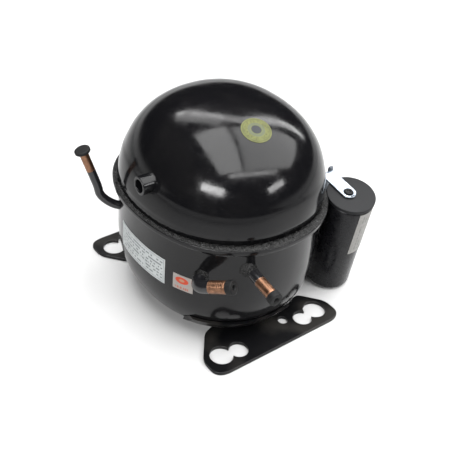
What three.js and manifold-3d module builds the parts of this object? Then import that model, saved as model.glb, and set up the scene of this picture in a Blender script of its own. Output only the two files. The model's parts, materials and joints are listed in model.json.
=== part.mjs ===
// Hermetic reciprocating compressor, in millimetres, +Z up.
// Origin: centre of the mounting pattern, on the plane of the feet's undersides.
// +X runs along the feet towards the terminals, -Y points to the front foot.
import * as THREE from 'three';
import { mergeVertices } from 'three/addons/utils/BufferGeometryUtils.js';
import Module from 'manifold-3d';

const wasm = await Module();
wasm.setup();

// ---- driving dimensions -------------------------------------------------------------------

const gap = 0.3;                  // clearance between neighbouring pieces
const wall = 3;                   // drawn shell and foot sheet

const ovalPower = 2.17;           // shell plan: |x/a|^n + |y/b|^n = 1
const shellSegments = 40;
const domeSteps = 8;
const bowlSteps = 7;
const innerSteps = 5;
const upper = { a: 79.2, b: 86, rimZ: 102.5, skirtZ: 109.5, crownA: 79, crownB: 87.3, domeZ: 112, topZ: 182.6,
                sideReach: 0.46, topReach: 0.77, leanX: 7.6, leanY: 2.4 };
const lower = { a: 77.6, b: 89.2, bowlZ: 77, power: 3.46, flat: 0.45 };
lower.depth = lower.bowlZ / (1 - lower.flat ** lower.power) ** (1 / lower.power);
const flange = { a: 82.9, b: 93.3, lip: 2.6, topZ: 106, lipZ: 102.5, flareZ: 98 };

const foot = {
  edgeY: 100.3, sideX: 66.9, earY: 79.5, innerY: 40,
  outerHole: { x: 50.8, y: 82.55, radius: 9.75 },     // 101.6 x 165.1 pattern
  innerHole: { x: 35, y: 85, radius: 8.2 },           // 70 x 170 pattern
  earthHole: { x: 18.6, y: 78, radius: 4.25 },
  saddleTop: 24.5, saddleFrom: -60, saddleTo: 18,
};

const suction = { outer: 5.2, inner: 4.1, entry: [-60.4, -59.9, 74.5], out: 13, bend: 8, run: 28,
                  azimuth: -64, elevation: 23.5 };
const charge = { outer: 4.7, inner: 3.6, entry: [-31.7, -83, 84.7], run: 30, azimuth: -95, elevation: -4 };
const discharge = { outer: 3.7, inner: 2.7, entry: [-68.4, 46.1, 80], azimuth: 155 };
const plug = { radius: 5.8, length: 6, stem: 7, dimple: 2.2, dimpleDepth: 3 };
const boss = { at: [-73.6, -4.7, 133.5], azimuth: 178, outer: 7.6, inner: 5.2, length: 9 };
// The discharge tube's course: [outwards, upwards] of its entry.
const rise = [[9, 4.5], [15.5, 12], [18.5, 23], [28.7, 53]];

const terminal = { y: 18, z: 55, radius: 15.7, innerX: 74, outerX: 78, pinRadius: 1.6, pinCircle: 7 };
const fence = { y0: -8, y1: 44, z0: 28, z1: 82, outerX: 98, sheet: 1.2 };
const cover = { y0: -11, y1: 47, z0: 24.5, z1: 85.5, outerX: 112, sheet: 2, corner: 7 };
const relay = { y0: 6, y1: 40, z0: 59, z1: 79, x0: 82, x1: 103 };
const protector = { radius: 10.5, x0: 84, x1: 97, y: 8.5, z: 45.5 };

const capacitor = { radius: 20.3, length: 97.5, capRadius: 20.9, capThick: 3.2,
                    top: [86.4, -68, 101], axis: [-0.07, -0.16, 0.98] };
const bracket = { width: 13, thick: 1.5, hookX: -1.9, hookY: 2, stud: 3.5, hole: 4.2, reach: 30.2,
                  legY: -38.5, foldZ: 110.8, earZ: 114.5, shelfZ: 66, tabY: -12.9, tabZ: 50,
                  middleX: 84.6, screwZ: 58, screwRadius: 1.6, screwHead: 4 };

const film = 0.4;                 // label thickness
const nameplate = { y0: -31, y1: 30, z0: 52, z1: 76.5 };
const squareLabel = { y0: -55, y1: -39, z0: 54, z1: 69 };
const ringLabel = { x: -1.3, y: -38.3, radius: 12 };
// Angles in radians about the can, heights from its end disc.
const canSticker = { from: -1.87, to: -0.2, low: -50, high: -2 };

const motor = { half: 48, corner: 20, z0: 38, z1: 74, bore: 28.5, rotor: 27.5, boltAt: 36, boltRadius: 3,
                boltTop: 92 };
const winding = { inner: 30.5, outer: 44, taper: 3, overhang: 12, slots: 8, slotFrom: 33, slotTo: 43,
                  slotWidth: 10 };
const cage = { bars: 10, barCircle: 22, barRadius: 2, inner: 14, outer: 26.5, overhang: 6 };
const crank = { shaft: 8.5, bore: 8.8, eccentric: 8, pin: 7, weight: 23, webZ0: 106, webZ1: 112, pinTop: 120,
                pickupZ: 9 };
const casting = { deckZ: 94, hub: 15, armReach: 52, armHalf: 8, leg: 6.6, deckHalf: 24, webHalf: 14 };
const cylinder = { z: 126, bore: 12.8, outer: 18, y0: 28, y1: 54, flangeHalf: 18, boltAt: 14.5 };
const piston = { radius: 12.5, crownY: 52.2, length: 18, pinY: 43, pinRadius: 4 };
const rod = { height: 11, bigOuter: 12, bigHole: 7.4, smallOuter: 7.2, shank: 4 };
const plate = { y0: 54.3, y1: 57.3 };
const head = { y1: 70, pocket: 11, floor: 66, boltHole: 2.3, outletX: -8, outletY: 62 };
const muffler = { x0: -50, x1: -25, y0: 14, y1: 44, z0: 113, z1: 146, neckX: -31, neckY: 50, neckZ: 136 };
const spring = { mean: 6.4, wire: 1.1, z0: 15.6, z1: 32.4, turns: 4, studRadius: 3.5, studTop: 19 };

// ---- materials ----------------------------------------------------------------------------

const finish = (color, roughness, metalness) => ({ color, roughness, metalness });
const looks = {
  shell_paint: finish(0x0b0b0d, 0.18, 0),
  weld: finish(0x2a2a2c, 0.35, 0.6),
  copper: finish(0xb87355, 0.32, 1),
  rubber: finish(0x2d2d2e, 0.7, 0),
  cap_plastic: finish(0x303238, 0.55, 0),
  can_plastic: finish(0x111214, 0.45, 0),
  cover_plastic: finish(0x161617, 0.5, 0),
  zinc: finish(0xc3c9d0, 0.3, 1),
  steel: finish(0x8d9196, 0.35, 1),
  pale_label: finish(0xd9dcda, 0.5, 0),
  white_label: finish(0xe9e4dd, 0.5, 0),
  yellow_label: finish(0xbfc657, 0.5, 0),
  cast_iron: finish(0x55565a, 0.6, 0.8),
  lamination: finish(0x6b6f76, 0.45, 0.9),
  enamel: finish(0xa4582c, 0.4, 0.3),
  aluminium: finish(0xb9bcc0, 0.4, 1),
  nylon: finish(0xe3dfd0, 0.5, 0),
  lead: finish(0x8a2e22, 0.6, 0),
};

// ---- building helpers ---------------------------------------------------------------------

const product = new THREE.Group();

function add(name, look, geometry, place = [0, 0, 0]) {
  const mesh = new THREE.Mesh(geometry, new THREE.MeshStandardMaterial(looks[look]));
  mesh.name = name;
  mesh.position.set(...place);
  product.add(mesh);
  return mesh;
}

function toSolid(geometry) {
  const bare = geometry.clone();
  bare.deleteAttribute('normal');
  bare.deleteAttribute('uv');
  const merged = mergeVertices(bare, 1e-4);
  const vertProperties = new Float32Array(merged.attributes.position.array);
  const triVerts = new Uint32Array(merged.index.array);
  return new wasm.Manifold(new wasm.Mesh({ numProp: 3, vertProperties, triVerts }));
}

function toGeometry(solid) {
  const { vertProperties, triVerts } = solid.getMesh();
  const geometry = new THREE.BufferGeometry();
  geometry.setAttribute('position', new THREE.BufferAttribute(new Float32Array(vertProperties), 3));
  geometry.setIndex(new THREE.BufferAttribute(new Uint32Array(triVerts), 1));
  geometry.computeVertexNormals();
  return geometry;
}

const join = (...parts) => toGeometry(parts.map(toSolid).reduce((sum, part) => sum.add(part)));
const cut = (base, ...tools) => toGeometry(
  tools.map(toSolid).reduce((rest, tool) => rest.subtract(tool), toSolid(base)),
);
const common = (first, second) => toGeometry(toSolid(first).intersect(toSolid(second)));

// A turned solid about Z from a closed or axis-to-axis outline of [radius, z] points.
function turned(outline, segments = 18) {
  const points = outline.map(([radius, z]) => new THREE.Vector2(radius, z));
  return new THREE.LatheGeometry(points, segments).rotateX(Math.PI / 2);
}

function cylinderZ(radius, z0, z1, segments = 18) {
  return new THREE.CylinderGeometry(radius, radius, z1 - z0, segments)
    .rotateX(Math.PI / 2)
    .translate(0, 0, (z0 + z1) / 2);
}

const cylinderX = (radius, x0, x1, segments) => cylinderZ(radius, x0, x1, segments).rotateY(Math.PI / 2);
const cylinderY = (radius, y0, y1, segments) => cylinderZ(radius, -y1, -y0, segments).rotateX(Math.PI / 2);

function block(x0, x1, y0, y1, z0, z1) {
  return new THREE.BoxGeometry(x1 - x0, y1 - y0, z1 - z0)
    .translate((x0 + x1) / 2, (y0 + y1) / 2, (z0 + z1) / 2);
}

function prism(shape, z0, z1, curveSegments = 12) {
  return new THREE.ExtrudeGeometry(shape, { depth: z1 - z0, bevelEnabled: false, curveSegments })
    .translate(0, 0, z0);
}

// Turns a prism drawn in a (Y, Z) sketch so that its depth runs along X.
const standAlongX = (geometry) => geometry.rotateX(Math.PI / 2).rotateZ(Math.PI / 2);

function roundedRect(x0, x1, y0, y1, radius) {
  const shape = new THREE.Shape();
  shape.absarc(x1 - radius, y1 - radius, radius, 0, Math.PI / 2);
  shape.absarc(x0 + radius, y1 - radius, radius, Math.PI / 2, Math.PI);
  shape.absarc(x0 + radius, y0 + radius, radius, Math.PI, 1.5 * Math.PI);
  shape.absarc(x1 - radius, y0 + radius, radius, 1.5 * Math.PI, 2 * Math.PI);
  shape.closePath();
  return shape;
}

// A closed outline whose corners [x, y, cut] are rounded from 'cut' before to 'cut' after.
function softOutline(corners) {
  const shape = new THREE.Shape();
  corners.forEach(([x, y, cutBack], i) => {
    const corner = new THREE.Vector2(x, y);
    const towards = ([nextX, nextY]) => (
      new THREE.Vector2(nextX, nextY).sub(corner).setLength(cutBack).add(corner)
    );
    const start = towards(corners[(i + corners.length - 1) % corners.length]);
    const end = towards(corners[(i + 1) % corners.length]);
    if (i === 0) {
      shape.moveTo(start.x, start.y);
    } else {
      shape.lineTo(start.x, start.y);
    }
    shape.quadraticCurveTo(x, y, end.x, end.y);
  });
  shape.closePath();
  return shape;
}

function circleHole(x, y, radius) {
  const hole = new THREE.Path();
  hole.absarc(x, y, radius, 0, 2 * Math.PI);
  return hole;
}

// The four corners of a square centred on the origin.
const corners = (at) => [[at, at], [-at, at], [-at, -at], [at, -at]];

const toVectors = (points) => points.map((point) => new THREE.Vector3(...point));

function direction(azimuth, elevation = 0) {
  const around = THREE.MathUtils.degToRad(azimuth);
  const up = THREE.MathUtils.degToRad(elevation);
  return new THREE.Vector3(
    Math.cos(around) * Math.cos(up),
    Math.sin(around) * Math.cos(up),
    Math.sin(up),
  );
}

// Moves a geometry built along +Z so that it starts at a point and runs along a direction.
function aim(geometry, start, along) {
  const turn = new THREE.Quaternion().setFromUnitVectors(new THREE.Vector3(0, 0, 1), along);
  return geometry.applyQuaternion(turn).translate(start.x, start.y, start.z);
}

// A path of straight runs with rounded corners between the given points.
function bentPath(points, radius) {
  const path = new THREE.CurvePath();
  let start = points[0];
  for (let i = 1; i < points.length - 1; i += 1) {
    const corner = points[i];
    const back = start.clone().sub(corner).setLength(radius).add(corner);
    const ahead = points[i + 1].clone().sub(corner).setLength(radius).add(corner);
    path.add(new THREE.LineCurve3(start, back));
    path.add(new THREE.QuadraticBezierCurve3(back, corner, ahead));
    start = ahead;
  }
  path.add(new THREE.LineCurve3(start, points[points.length - 1]));
  return path;
}

function sweep(path, outer, inner, steps, sides = 12) {
  const section = new THREE.Shape();
  section.absarc(0, 0, outer, 0, 2 * Math.PI);
  if (inner > 0) {
    section.holes.push(circleHole(0, 0, inner));
  }
  return new THREE.ExtrudeGeometry(section, {
    steps, bevelEnabled: false, extrudePath: path, curveSegments: sides / 2,
  });
}

// ---- oval shells --------------------------------------------------------------------------

// A lathe whose outline points are [a, b, z]: the two semi-axes of the oval at that height.
// Above the dome's base the ovals' centres move sideways in step with the height.
function ovalLathe(outline, segments = shellSegments) {
  const points = outline.map(([a, , z]) => new THREE.Vector2(a, z));
  const geometry = new THREE.LatheGeometry(points, segments);
  const position = geometry.attributes.position;
  const signedPower = (value) => Math.sign(value) * Math.abs(value) ** (2 / ovalPower);
  for (let i = 0; i < position.count; i += 1) {
    const [a, b, z] = outline[i % outline.length];
    const angle = (2 * Math.PI * (Math.floor(i / outline.length) % segments)) / segments;
    const lean = Math.max(0, z - upper.domeZ) / (upper.topZ - upper.domeZ);
    const x = a * signedPower(Math.cos(angle)) + upper.leanX * lean;
    const y = b * signedPower(Math.sin(angle)) + upper.leanY * lean;
    position.setXYZ(i, x, y, z);
  }
  return geometry;
}

// Points of a bowl from its rim (share 1) to where its plan has shrunk to the given share.
function bowl(a, b, rimZ, depth, power, steps, flat = 0) {
  const last = Math.acos(flat ** (power / 2));
  return Array.from({ length: steps + 1 }, (_, i) => {
    const angle = (last * i) / steps;
    const share = Math.cos(angle) ** (2 / power);
    return [a * share, b * share, rimZ + depth * Math.sin(angle) ** (2 / power)];
  });
}

// The dome: upright at its base, level at its top.
function upperOutline(offset, steps) {
  const { crownA, crownB, domeZ, topZ, sideReach, topReach } = upper;
  const rise = topZ + offset - domeZ;
  const curve = new THREE.CubicBezierCurve(
    new THREE.Vector2(1, 0),
    new THREE.Vector2(1, sideReach * rise),
    new THREE.Vector2(topReach, rise),
    new THREE.Vector2(0, rise),
  );
  return curve.getPoints(steps).map(({ x, y }) => [(crownA + offset) * x, (crownB + offset) * x, domeZ + y]);
}

function lowerOutline(offset, steps) {
  const { a, b, bowlZ, depth, power, flat } = lower;
  const side = bowl(a + offset, b + offset, bowlZ, -(depth + offset), power, steps, flat);
  const floorZ = side[side.length - 1][2];
  return [...side, [0, 0, floorZ]];
}

function upperShell() {
  const skirt = (offset) => [
    [upper.a + offset, upper.b + offset, upper.rimZ],
    [upper.a + offset, upper.b + offset, upper.skirtZ],
  ];
  const outside = [...skirt(0), ...upperOutline(0, domeSteps)];
  const inside = [...skirt(-wall), ...upperOutline(-wall, innerSteps)].reverse();
  return ovalLathe([...outside, ...inside, outside[0]]);
}

// The solid space that the lower shell fills, grown by an offset.
function lowerEnvelope(offset) {
  const rim = [flange.a + offset, flange.b + offset];
  return ovalLathe([
    ...lowerOutline(offset, bowlSteps).reverse(),
    [lower.a + offset, lower.b + offset, flange.flareZ],
    [...rim, flange.lipZ],
    [...rim, flange.topZ],
    [0, 0, flange.topZ],
  ]);
}

function lowerShell() {
  const outside = [
    ...lowerOutline(0, bowlSteps).reverse(),
    [lower.a, lower.b, flange.flareZ],
    [flange.a, flange.b, flange.lipZ],
    [flange.a, flange.b, flange.topZ],
  ];
  const inside = [
    [flange.a - flange.lip, flange.b - flange.lip, flange.topZ],
    [flange.a - flange.lip, flange.b - flange.lip, flange.lipZ + 0.6],
    [lower.a - wall, lower.b - wall, flange.flareZ + 0.6],
    ...lowerOutline(-wall, innerSteps),
  ];
  const studs = corners(motor.boltAt).map(([x, y]) => (
    cylinderZ(spring.studRadius, 6.5, spring.studTop, 10).translate(x, y, 0)
  ));
  const tub = join(ovalLathe([...outside, ...inside]), ...studs);
  return cut(
    tub,
    tubeHole(suction, 0.4),
    tubeHole(charge, 0.4),
    tubeHole(discharge, 0.4),
    cylinderX(terminal.radius + gap, 60, 90).translate(0, terminal.y, terminal.z),
  );
}

function weldBead() {
  const inner = [upper.a + gap, upper.b + gap];
  const mouth = [flange.a - flange.lip - gap, flange.b - flange.lip - gap];
  return ovalLathe([
    [...inner, 103.5], [...mouth, 103.5], [...mouth, 106.3], [82.5, 92.7, 106.3],
    [82, 91.5, 107.8], [80.9, 89.2, 108.8], [...inner, 109.1], [...inner, 103.5],
  ]);
}

// ---- feet ---------------------------------------------------------------------------------

// The front foot: a flat pressing whose saddle rises against the shell.
function footPressing() {
  const { outerHole, edgeY, sideX, earY, innerY } = foot;
  const outline = softOutline([
    [sideX, -edgeY, 14], [sideX, -earY, 6], [50, -59.5, 4], [36, -65, 8], [foot.saddleTo, -66.8, 1],
    [foot.saddleTo, -innerY, 1], [-45, -innerY, 1], [-47, -54.5, 4], [-sideX, -earY, 6], [-sideX, -edgeY, 14],
  ]);
  const saddle = common(
    cut(lowerEnvelope(gap + wall), lowerEnvelope(gap)),
    block(foot.saddleFrom, foot.saddleTo, -edgeY, -innerY, 0, foot.saddleTop),
  );
  const plateOnly = cut(prism(outline, 0, wall), lowerEnvelope(gap));
  const drill = ({ x, y, radius }) => cylinderZ(radius, -1, wall + 1).translate(x, -y, 0);
  const mirrored = (hole) => ({ ...hole, x: -hole.x });
  return cut(
    join(plateOnly, saddle),
    ...[outerHole, foot.innerHole].flatMap((hole) => [drill(hole), drill(mirrored(hole))]),
    drill(foot.earthHole),
  );
}

// ---- tubes, plugs and the side stub -------------------------------------------------------

const entryPoint = (tube) => new THREE.Vector3(...tube.entry);

function outwardAt([x, y]) {
  const slope = (value, half) => (Math.sign(value) * Math.abs(value / half) ** (ovalPower - 1)) / half;
  return new THREE.Vector3(slope(x, lower.a), slope(y, lower.b), 0).normalize();
}

suction.leave = outwardAt(suction.entry);
charge.leave = direction(charge.azimuth, charge.elevation);
discharge.leave = direction(discharge.azimuth);

const alongEntry = (tube, distance) => entryPoint(tube).addScaledVector(tube.leave, distance);

function tubeHole(tube, clearance) {
  const hole = cylinderZ(tube.outer + clearance, -9, 7, 16);
  return aim(hole, entryPoint(tube), tube.leave);
}

const suctionAim = direction(suction.azimuth, suction.elevation);
const suctionCorner = alongEntry(suction, suction.out);
const suctionEnd = suctionCorner.clone().addScaledVector(suctionAim, suction.run);
const chargeEnd = alongEntry(charge, charge.run);
const risePoints = rise.map(([out, up]) => alongEntry(discharge, out).add(new THREE.Vector3(0, 0, up)));
const dischargeEnd = risePoints[risePoints.length - 1];
const dischargeAim = dischargeEnd.clone().sub(risePoints[risePoints.length - 2]).normalize();

function suctionTube() {
  const path = bentPath([alongEntry(suction, -7), suctionCorner, suctionEnd], suction.bend);
  return sweep(path, suction.outer, suction.inner, 11, 10);
}

function chargeTube() {
  const path = new THREE.LineCurve3(alongEntry(charge, -7), chargeEnd);
  return sweep(path, charge.outer, charge.inner, 1);
}

function dischargeTube() {
  const route = [alongEntry(discharge, -6), alongEntry(discharge, 1), ...risePoints];
  return sweep(new THREE.CatmullRomCurve3(route), discharge.outer, discharge.inner, 14, 8);
}

// A rubber stopper with a stem in the tube and a dimpled head, built along +Z.
function stopper(tubeInner) {
  const { radius, length, stem, dimple, dimpleDepth } = plug;
  const stemRadius = tubeInner - gap;
  return turned([
    [0, -stem], [stemRadius - 0.6, -stem], [stemRadius, -stem + 1.5], [stemRadius, gap],
    [radius - 0.4, gap], [radius, 1], [radius, length - 1.2], [radius - 1.2, length],
    [dimple + 0.4, length], [dimple, length - 0.6], [dimple * 0.8, length - dimpleDepth],
    [0, length - dimpleDepth],
  ], 14);
}

// The flat mushroom cap of the discharge tube.
function mushroomCap() {
  const stemRadius = discharge.inner - gap;
  return turned([
    [0, -6], [stemRadius - 0.4, -6], [stemRadius, -5], [stemRadius, gap],
    [5.8, gap], [6.5, 0.9], [6.5, 2.3], [5.9, 3], [0, 3.2],
  ], 20);
}

function brazeFillet(tube, reach, spread) {
  const bore = tube.outer + gap;
  const ring = turned([
    [bore, -2], [bore + spread, -2], [bore + spread, 0.6], [bore + 1.2, reach - 0.8],
    [bore, reach], [bore, -2],
  ], 20);
  return cut(aim(ring, entryPoint(tube), tube.leave), lowerEnvelope(gap));
}

function sideStub() {
  const ring = turned([
    [boss.inner, -4], [boss.outer, -4], [boss.outer, boss.length - 0.8],
    [boss.outer - 0.8, boss.length], [boss.inner, boss.length], [boss.inner, -4],
  ], 20);
  const dome = ovalLathe([
    [0, 0, upper.rimZ], [upper.a + gap, upper.b + gap, upper.rimZ], ...upperOutline(gap, domeSteps),
  ]);
  return cut(aim(ring, new THREE.Vector3(...boss.at), direction(boss.azimuth)), dome);
}

// ---- electrical side ----------------------------------------------------------------------

const pinPlaces = [90, 210, 330].map((angle) => {
  const turn = THREE.MathUtils.degToRad(angle);
  const { y, z, pinCircle } = terminal;
  return [y + pinCircle * Math.cos(turn), z + pinCircle * Math.sin(turn)];
});

const pinHoles = (x0, x1) => pinPlaces.map(([y, z]) => (
  cylinderX(terminal.pinRadius + gap, x0, x1, 12).translate(0, y, z)
));

function terminalCup() {
  const { radius, innerX, outerX, y, z } = terminal;
  const disc = turned([
    [0, innerX + 1.2], [radius - 3, innerX + 1.2], [radius - 2, innerX], [radius, innerX], [radius, outerX],
    [0, outerX],
  ]).rotateY(Math.PI / 2).translate(0, y, z);
  return cut(disc, ...pinHoles(innerX - 4, outerX + 4));
}

// A box sleeve along X that fits against the shell's side.
function sideSleeve({ y0, y1, z0, z1, sheet }, x0, x1, radius) {
  const outline = roundedRect(y0, y1, z0, z1, radius);
  outline.holes.push(roundedRect(y0 + sheet, y1 - sheet, z0 + sheet, z1 - sheet, radius - sheet));
  return standAlongX(prism(outline, x0, x1, 4));
}

function screwHole(y0, y1) {
  return cylinderY(bracket.screwRadius + gap, y0, y1, 12).translate(bracket.middleX, 0, bracket.screwZ);
}

function terminalFence() {
  const mouth = fence.y0 + fence.sheet / 2;
  return cut(sideSleeve(fence, 66, fence.outerX, 6), lowerEnvelope(gap), screwHole(mouth - 3, mouth + 3));
}

function terminalCover() {
  const { y0, y1, z0, z1, outerX, sheet, corner } = cover;
  const lid = standAlongX(prism(roundedRect(y0, y1, z0, z1, corner), outerX - sheet, outerX, 4));
  return cut(
    join(sideSleeve(cover, 68, outerX - sheet / 2, corner), lid),
    lowerEnvelope(gap),
    screwHole(y0 - 2, y0 + 4),
  );
}

function startRelay() {
  const { y0, y1, z0, z1, x0, x1 } = relay;
  const body = standAlongX(prism(roundedRect(y0, y1, z0, z1, 2), x0, x1, 2));
  return cut(body, ...pinHoles(80, 92));
}

function overloadProtector() {
  const { radius, x0, x1, y, z } = protector;
  const can = turned([[0, x0], [radius, x0], [radius, x1 - 3], [radius - 1.5, x1], [0, x1]], 20);
  return cut(can.rotateY(Math.PI / 2).translate(0, y, z), ...pinHoles(80, 92));
}

// ---- capacitor and its bracket ------------------------------------------------------------

const canAxis = new THREE.Vector3(...capacitor.axis).normalize();
const canTop = new THREE.Vector3(...capacitor.top);
const placeOnCan = (geometry) => aim(geometry, canTop, canAxis);

function capacitorCan() {
  const { radius, length } = capacitor;
  return placeOnCan(turned([
    [0, -length], [radius - 4, -length], [radius - 1, -length + 1.2], [radius, -length + 4], [radius, -gap],
    [0, -gap],
  ], 32));
}

// The plastic end disc, with the stud that the bracket hooks over.
function capacitorCap() {
  const { capRadius, capThick } = capacitor;
  const disc = turned([
    [0, 0], [capRadius, 0], [capRadius, capThick - 0.8], [capRadius - 0.8, capThick], [0, capThick],
  ], 32);
  const stud = turned([
    [0, 1], [bracket.stud, 1], [bracket.stud, capThick + 2.4], [bracket.stud - 0.7, capThick + 3],
    [0, capThick + 3],
  ], 16);
  return placeOnCan(join(disc, stud.translate(bracket.hookX, bracket.hookY, 0)));
}

// A strap over the end disc, folded down beside the can and across to the terminal cover.
function capacitorBracket() {
  const { width, thick, hookX, hookY, hole, reach, legY, foldZ, earZ, shelfZ, tabY, tabZ } = bracket;
  const { middleX, screwZ, screwRadius } = bracket;
  const half = width / 2;
  const rest = capacitor.capThick + gap;
  const strap = new THREE.Shape();
  strap.absarc(hookX, hookY, half, Math.PI, 2 * Math.PI);
  strap.lineTo(hookX + half, reach);
  strap.lineTo(hookX - half, reach);
  strap.closePath();
  strap.holes.push(circleHole(hookX, hookY, hole));
  const onDisc = placeOnCan(prism(strap, rest, rest + thick, 10));
  const leg = (y0, y1, z0, z1) => block(middleX - half, middleX + half, y0, y1, z0, z1);
  const ear = block(middleX + 1, middleX + 6, legY - thick, legY, foldZ - 2.8, earZ);
  return cut(
    join(
      onDisc,
      leg(legY - thick, legY, shelfZ, foldZ),
      leg(legY - thick, tabY + thick, shelfZ, shelfZ + thick),
      leg(tabY, tabY + thick, tabZ, shelfZ + thick),
      ear,
    ),
    cylinderY(screwRadius + 0.7, tabY - 2, tabY + 3, 12).translate(middleX, 0, screwZ),
  );
}

function bracketScrew() {
  const { tabY, middleX, screwZ, screwRadius, screwHead } = bracket;
  const shank = cylinderY(screwRadius, tabY - 0.6, fence.y0 + 3, 12);
  const headShape = cylinderY(screwHead, tabY - 3, tabY - gap, 12);
  return join(shank, headShape).translate(middleX, 0, screwZ);
}

// ---- labels -------------------------------------------------------------------------------

// A thin skin of the shell's side between two Y and two Z limits, on the -X side.
function sideLabel({ y0, y1, z0, z1 }) {
  const skin = cut(lowerEnvelope(gap + film), lowerEnvelope(gap));
  return common(skin, block(-flange.a - wall, -lower.a / 2, y0, y1, z0, z1));
}

function domeLabel({ x, y, radius }) {
  const dome = (offset) => ovalLathe([[0, 0, upper.domeZ], ...upperOutline(offset, domeSteps)]);
  const skin = cut(dome(gap + film), dome(gap));
  return common(skin, cylinderZ(radius, upper.domeZ + 30, upper.topZ + 10, 20).translate(x, y, 0));
}

function canLabel() {
  const { from, to, low, high } = canSticker;
  const inner = capacitor.radius + gap;
  const skin = turned([
    [inner, low], [inner + film, low], [inner + film, high], [inner, high], [inner, low],
  ], 32);
  const reach = 3 * capacitor.radius;
  const wedge = new THREE.Shape();
  wedge.moveTo(0, 0);
  for (const angle of [from, (from + to) / 2, to]) {
    wedge.lineTo(reach * Math.cos(angle), reach * Math.sin(angle));
  }
  wedge.closePath();
  return placeOnCan(common(skin, prism(wedge, low - 1, high + 1)));
}

// ---- motor --------------------------------------------------------------------------------

function slotPath(angle, from, to, width) {
  const along = new THREE.Vector2(Math.cos(angle), Math.sin(angle));
  const side = new THREE.Vector2(-along.y, along.x).multiplyScalar(width / 2);
  const corner = (radius, sign) => along.clone().multiplyScalar(radius).addScaledVector(side, sign);
  return [corner(from, -1), corner(to, -1), corner(to, 1), corner(from, 1)];
}

const slotAngles = Array.from({ length: winding.slots }, (_, i) => (i * 2 * Math.PI) / winding.slots);

function statorCore() {
  const { half, corner, z0, z1, bore, boltAt, boltRadius } = motor;
  const sheet = roundedRect(-half, half, -half, half, corner);
  sheet.holes.push(circleHole(0, 0, bore));
  for (const angle of slotAngles) {
    sheet.holes.push(new THREE.Path(slotPath(angle, winding.slotFrom, winding.slotTo, winding.slotWidth)));
  }
  for (const [x, y] of corners(boltAt)) {
    sheet.holes.push(circleHole(x, y, boltRadius + gap));
  }
  return prism(sheet, z0, z1, 6);
}

// Both end turns with the coil sides that run through the slots.
function statorWindings() {
  const { inner, outer, taper, overhang, slotFrom, slotTo, slotWidth } = winding;
  const height = overhang - gap;
  const endTurn = () => turned([
    [inner, 0], [outer, 0], [outer - taper, height], [inner, height], [inner, 0],
  ], 24);
  const top = endTurn().translate(0, 0, motor.z1 + gap);
  const bottom = endTurn().rotateX(Math.PI).translate(0, 0, motor.z0 - gap);
  const coilSides = slotAngles.map((angle) => prism(
    new THREE.Shape(slotPath(angle, slotFrom + gap, slotTo - gap, slotWidth - 2 * gap)),
    motor.z0 - 2,
    motor.z1 + 2,
  ));
  return join(top, bottom, ...coilSides);
}

const barPlaces = Array.from({ length: cage.bars }, (_, i) => {
  const angle = (i * 2 * Math.PI) / cage.bars;
  return [cage.barCircle * Math.cos(angle), cage.barCircle * Math.sin(angle)];
});

function rotorCore() {
  const disc = new THREE.Shape();
  disc.absarc(0, 0, motor.rotor, 0, 2 * Math.PI);
  disc.holes.push(circleHole(0, 0, crank.bore));
  for (const [x, y] of barPlaces) {
    disc.holes.push(circleHole(x, y, cage.barRadius + gap));
  }
  return prism(disc, motor.z0, motor.z1, 8);
}

function rotorCage() {
  const { barRadius, inner, outer, overhang } = cage;
  const ring = (z0, z1) => turned([[inner, z0], [outer, z0], [outer, z1], [inner, z1], [inner, z0]], 24);
  const bars = barPlaces.map(([x, y]) => (
    cylinderZ(barRadius, motor.z0 - 2, motor.z1 + 2, 6).translate(x, y, 0)
  ));
  return join(
    ring(motor.z0 - overhang, motor.z0 - gap),
    ring(motor.z1 + gap, motor.z1 + overhang),
    ...bars,
  );
}

// The long bolt that clamps the stator to the crankcase; its foot seats a spring.
function statorBolt() {
  const { z0, boltRadius, boltTop } = motor;
  const { studRadius, studTop } = spring;
  const tip = studTop + 5;
  const seat = spring.z1 + 0.8;
  return turned([
    [0, tip], [studRadius - 0.8, tip], [studRadius, tip + 1], [studRadius, seat], [7, seat],
    [7, z0 - gap], [boltRadius, z0 - gap], [boltRadius, boltTop], [0, boltTop],
  ], 12);
}

function suspensionSpring() {
  const { mean, wire, z0, z1, turns } = spring;
  class Helix extends THREE.Curve {
    getPoint(share) {
      const angle = share * turns * 2 * Math.PI;
      const z = z0 + wire + share * (z1 - z0 - 2 * wire);
      return new THREE.Vector3(mean * Math.cos(angle), mean * Math.sin(angle), z);
    }
  }
  return sweep(new Helix(), wire, 0, turns * 7, 6);
}

// ---- pump ---------------------------------------------------------------------------------

const headBoltPlaces = corners(cylinder.boltAt).map(([x, up]) => [x, cylinder.z + up]);

const headBoltHoles = (y0, y1) => headBoltPlaces.map(([x, z]) => (
  cylinderY(head.boltHole, y0, y1, 8).translate(x, 0, z)
));

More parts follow.
